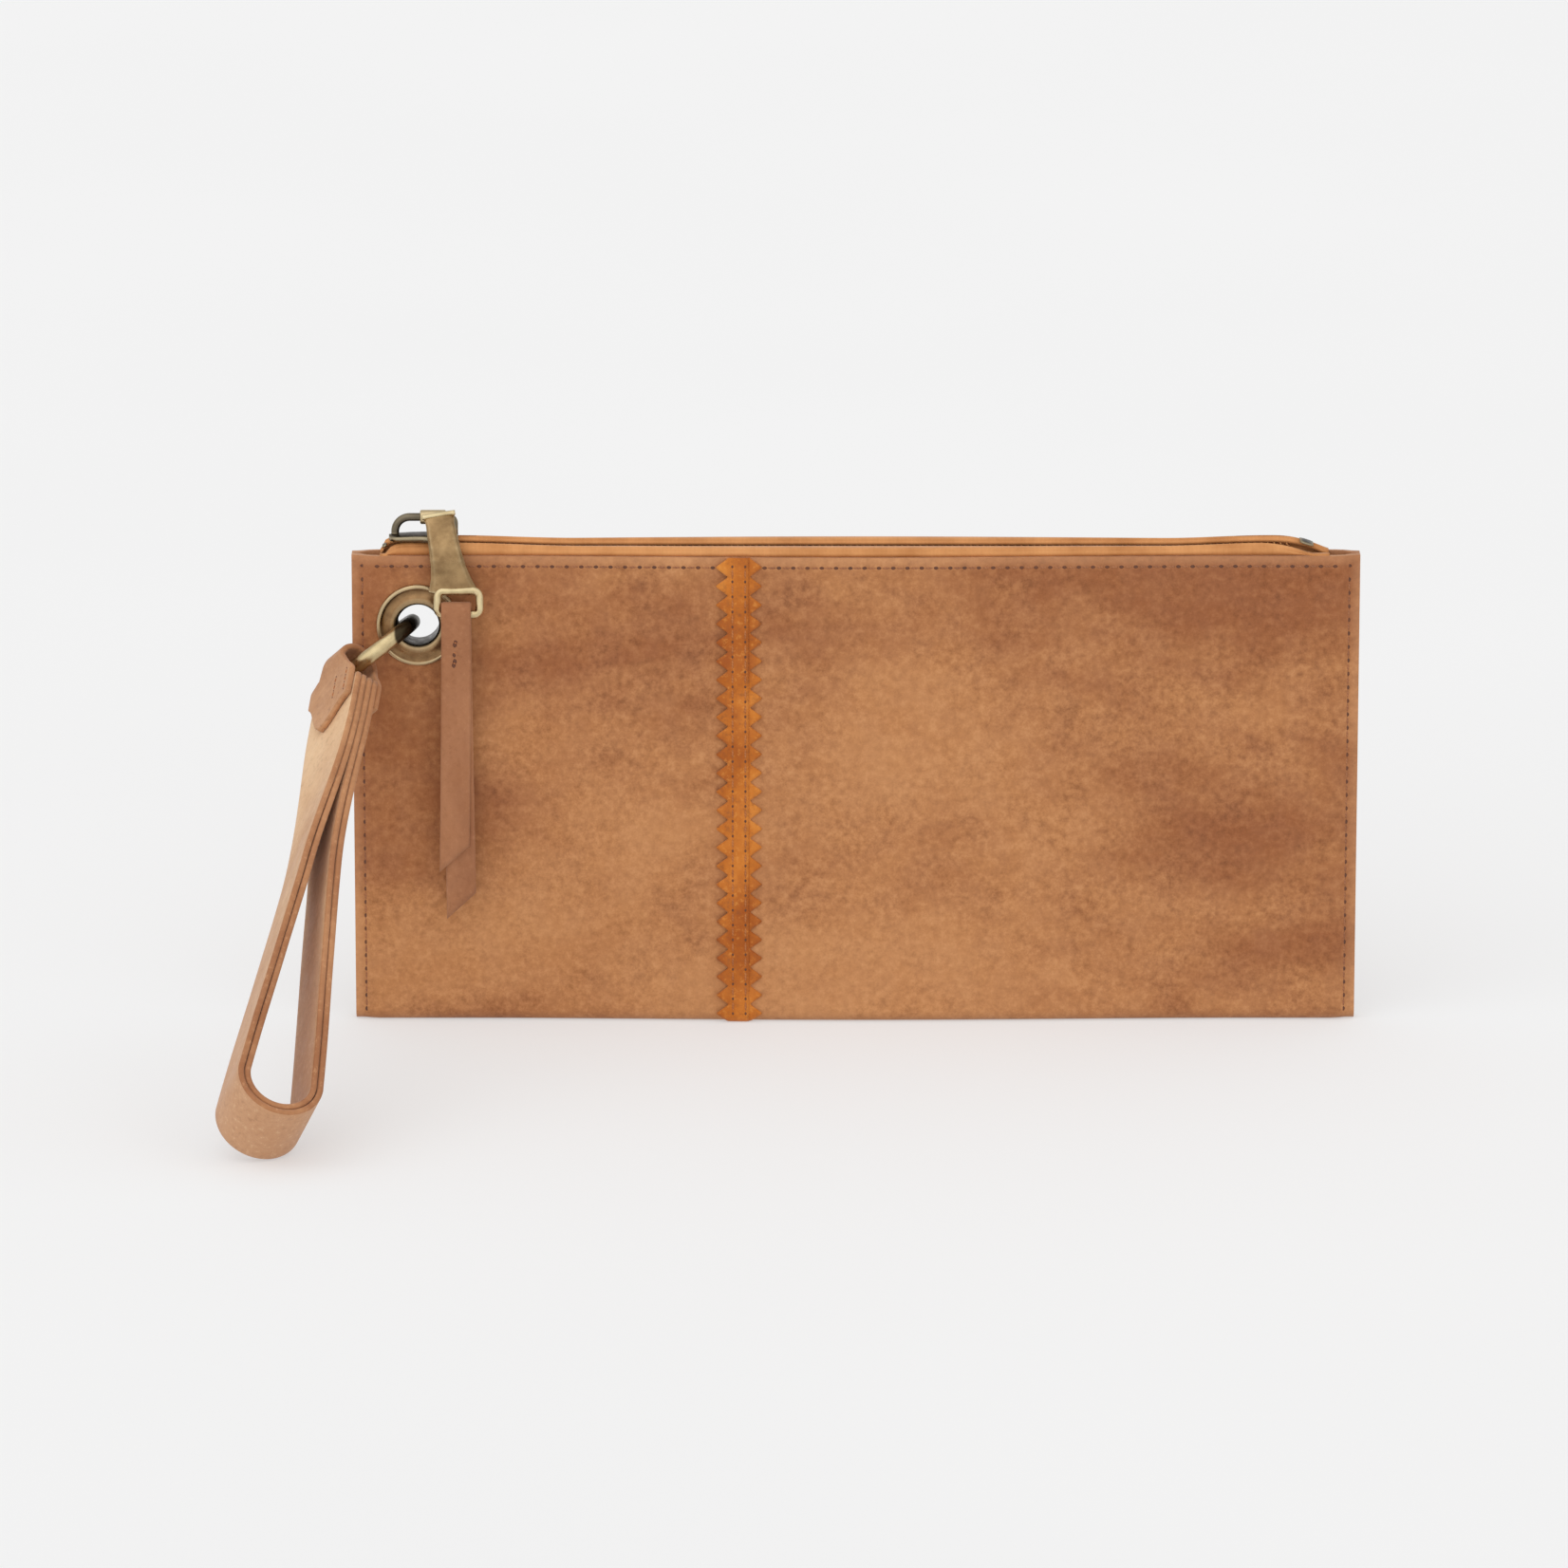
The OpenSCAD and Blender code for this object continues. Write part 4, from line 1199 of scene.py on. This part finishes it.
def band(name, line, lift, thick, half_of, node, leather=STRAP, slant=None, seed=0.0):
    soft = 0.42 * MM
    rings = []
    for i, (p, q) in enumerate(line):
        n = line_normal(line, i)
        ring = []
        for w, d in band_outline(half_of(p), thick, soft):
            ripple = 0.08 * MM * noise.noise(Vector((p * 55, seed + w * 40, seed)))
            x = lift + d + ripple
            back = slant(p, q, w) if slant else 0.0
            ring.append(strap_point(p + x * n[0], q + x * n[1], w) - STRAP_DIR * back)
        rings.append(ring)

    def pick(i, j):
        return 1 if 10 <= j < 16 or j >= 26 else 0

    obj = ring_sweep(name, rings, [leather, EDGE], pick=pick, fold=26)
    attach(obj, "strap")
    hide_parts(node)


def strap_half(p):
    return STRAP_W / 2


RUN_TOP = 8 * MM
RUN_LIFT = LAYER / 2 + 0.02 * MM
RUN_THICK = LAYER - 0.14 * MM
band("strap_outer_layer", loop_line(RUN_TOP), RUN_LIFT, RUN_THICK, strap_half, "strap_outer", seed=1.3)
band("strap_inner_layer", loop_line(RUN_TOP), -RUN_LIFT, RUN_THICK, strap_half, "strap_inner", seed=4.1)

LEG_Q = 2 * LAYER + 0.05 * MM + LAYER / 2 + 0.1 * MM
EYE_R = 4.75 * MM
EYE_TOP = 5.1 * MM
EYE_HALF = 3.5 * MM


def tab_line():
    line = [(mix(20.6, 3.0, i / 30) * MM, LEG_Q + 0.1 * MM * smooth((6 - mix(20.6, 3.0, i / 30)) / 3))
            for i in range(31)]
    for i in range(33):
        a = math.pi / 2 - math.pi * i / 32
        line.append((-EYE_TOP * math.cos(a), EYE_R * math.sin(a)))
    line += [(mix(3.0, 15.0, i / 20) * MM, -LEG_Q - 0.1 * MM * smooth((6 - mix(3.0, 15.0, i / 20)) / 3))
             for i in range(21)]
    return line


def tab_half(p):
    return mix(EYE_HALF, 8.9 * MM, smooth((p + 2.5 * MM) / (12 * MM)))


def tab_slant(p, q, w):
    """Pulls up both sides of the long leg's end, so that it ends in a blunt slanting point."""
    if q <= 0:
        return 0.0
    side = max(0.0, min(1.0, 0.5 - w / (2 * tab_half(p))))
    pull = 0.42 * smooth((0.6 - side) / 0.6) + 0.75 * smooth((side - 0.6) / 0.4)
    return 0.8 * max(0.0, p - 3 * MM) * pull


band("strap_keeper", tab_line(), 0.0, LAYER - 0.12 * MM, tab_half, "ring_tab", KEEPER,
     slant=tab_slant, seed=7.7)

keeper_rows = []
for w in (2.5 * MM, 7 * MM):
    for side, w_at, p0 in ((1, w, 6.5 * MM), (-1, 9 * MM - 2 * w, 6 * MM)):
        q = side * (LEG_Q + LAYER / 2 - 0.04 * MM)
        places = [strap_point(p0 + i * 2.2 * MM, q, w_at) for i in range(4)]
        keeper_rows.append(stitch_row(places, STRAP_DIR, side * apart(p0), 1.2 * MM, 0.45 * MM, 0.5 * MM))
stitch_piece("strap_thread", keeper_rows, "strap_stitches", "strap", [TRIM_THREAD, HOLE_SHADE])


# ------------------------------------------------------------------ carried-over parts

def wear(node, material):
    obj = frame["nodes"][node]
    obj.data.materials.clear()
    obj.data.materials.append(material)


for node in ("lining", "card_backing", "card_slot_top", "card_slot_middle", "card_slot_bottom",
             "slip_pocket"):
    wear(node, LINING)


# ------------------------------------------------------------------ floor, light and camera

FLOOR = 14.0
floor = make("studio_floor_plane",
             [(-FLOOR, -FLOOR, 0), (FLOOR, -FLOOR, 0), (FLOOR, FLOOR, 0), (-FLOOR, FLOOR, 0)],
             [(0, 1, 2, 3)], [studio_floor()], flat=True)

scene = bpy.context.scene
world = bpy.data.worlds.new("studio_world")
scene.world = world
world.use_nodes = True
background = world.node_tree.nodes["Background"]
background.inputs[0].default_value = (1, 1, 1, 1)
background.inputs[1].default_value = 0.75


def sun_light(name, aim, spread, power):
    data = bpy.data.lights.new(name, "SUN")
    data.angle = math.radians(spread)
    data.energy = power
    obj = bpy.data.objects.new(name, data)
    obj.rotation_euler = Vector(aim).to_track_quat("-Z", "Y").to_euler()
    scene.collection.objects.link(obj)


sun_light("key_light", (0.75, 0.75, -1.1), 80, 0.28)
sun_light("front_light", (0.1, 1.0, -1.0), 110, 0.85)

camera_data = bpy.data.cameras.new("photo_camera")
camera_data.sensor_width = 36
camera_data.lens = 248
camera_data.clip_end = 60
camera_data.dof.use_dof = False
camera = bpy.data.objects.new("photo_camera", camera_data)
target = Vector((-0.0172, 0, 0.0582))
tilt = math.radians(15)
camera.location = target + Vector((0, -2.6 * math.cos(tilt), 2.6 * math.sin(tilt)))
camera.rotation_euler = (target - camera.location).to_track_quat("-Z", "Y").to_euler()
scene.collection.objects.link(camera)
scene.camera = camera
scene.view_settings.view_transform = "Standard"
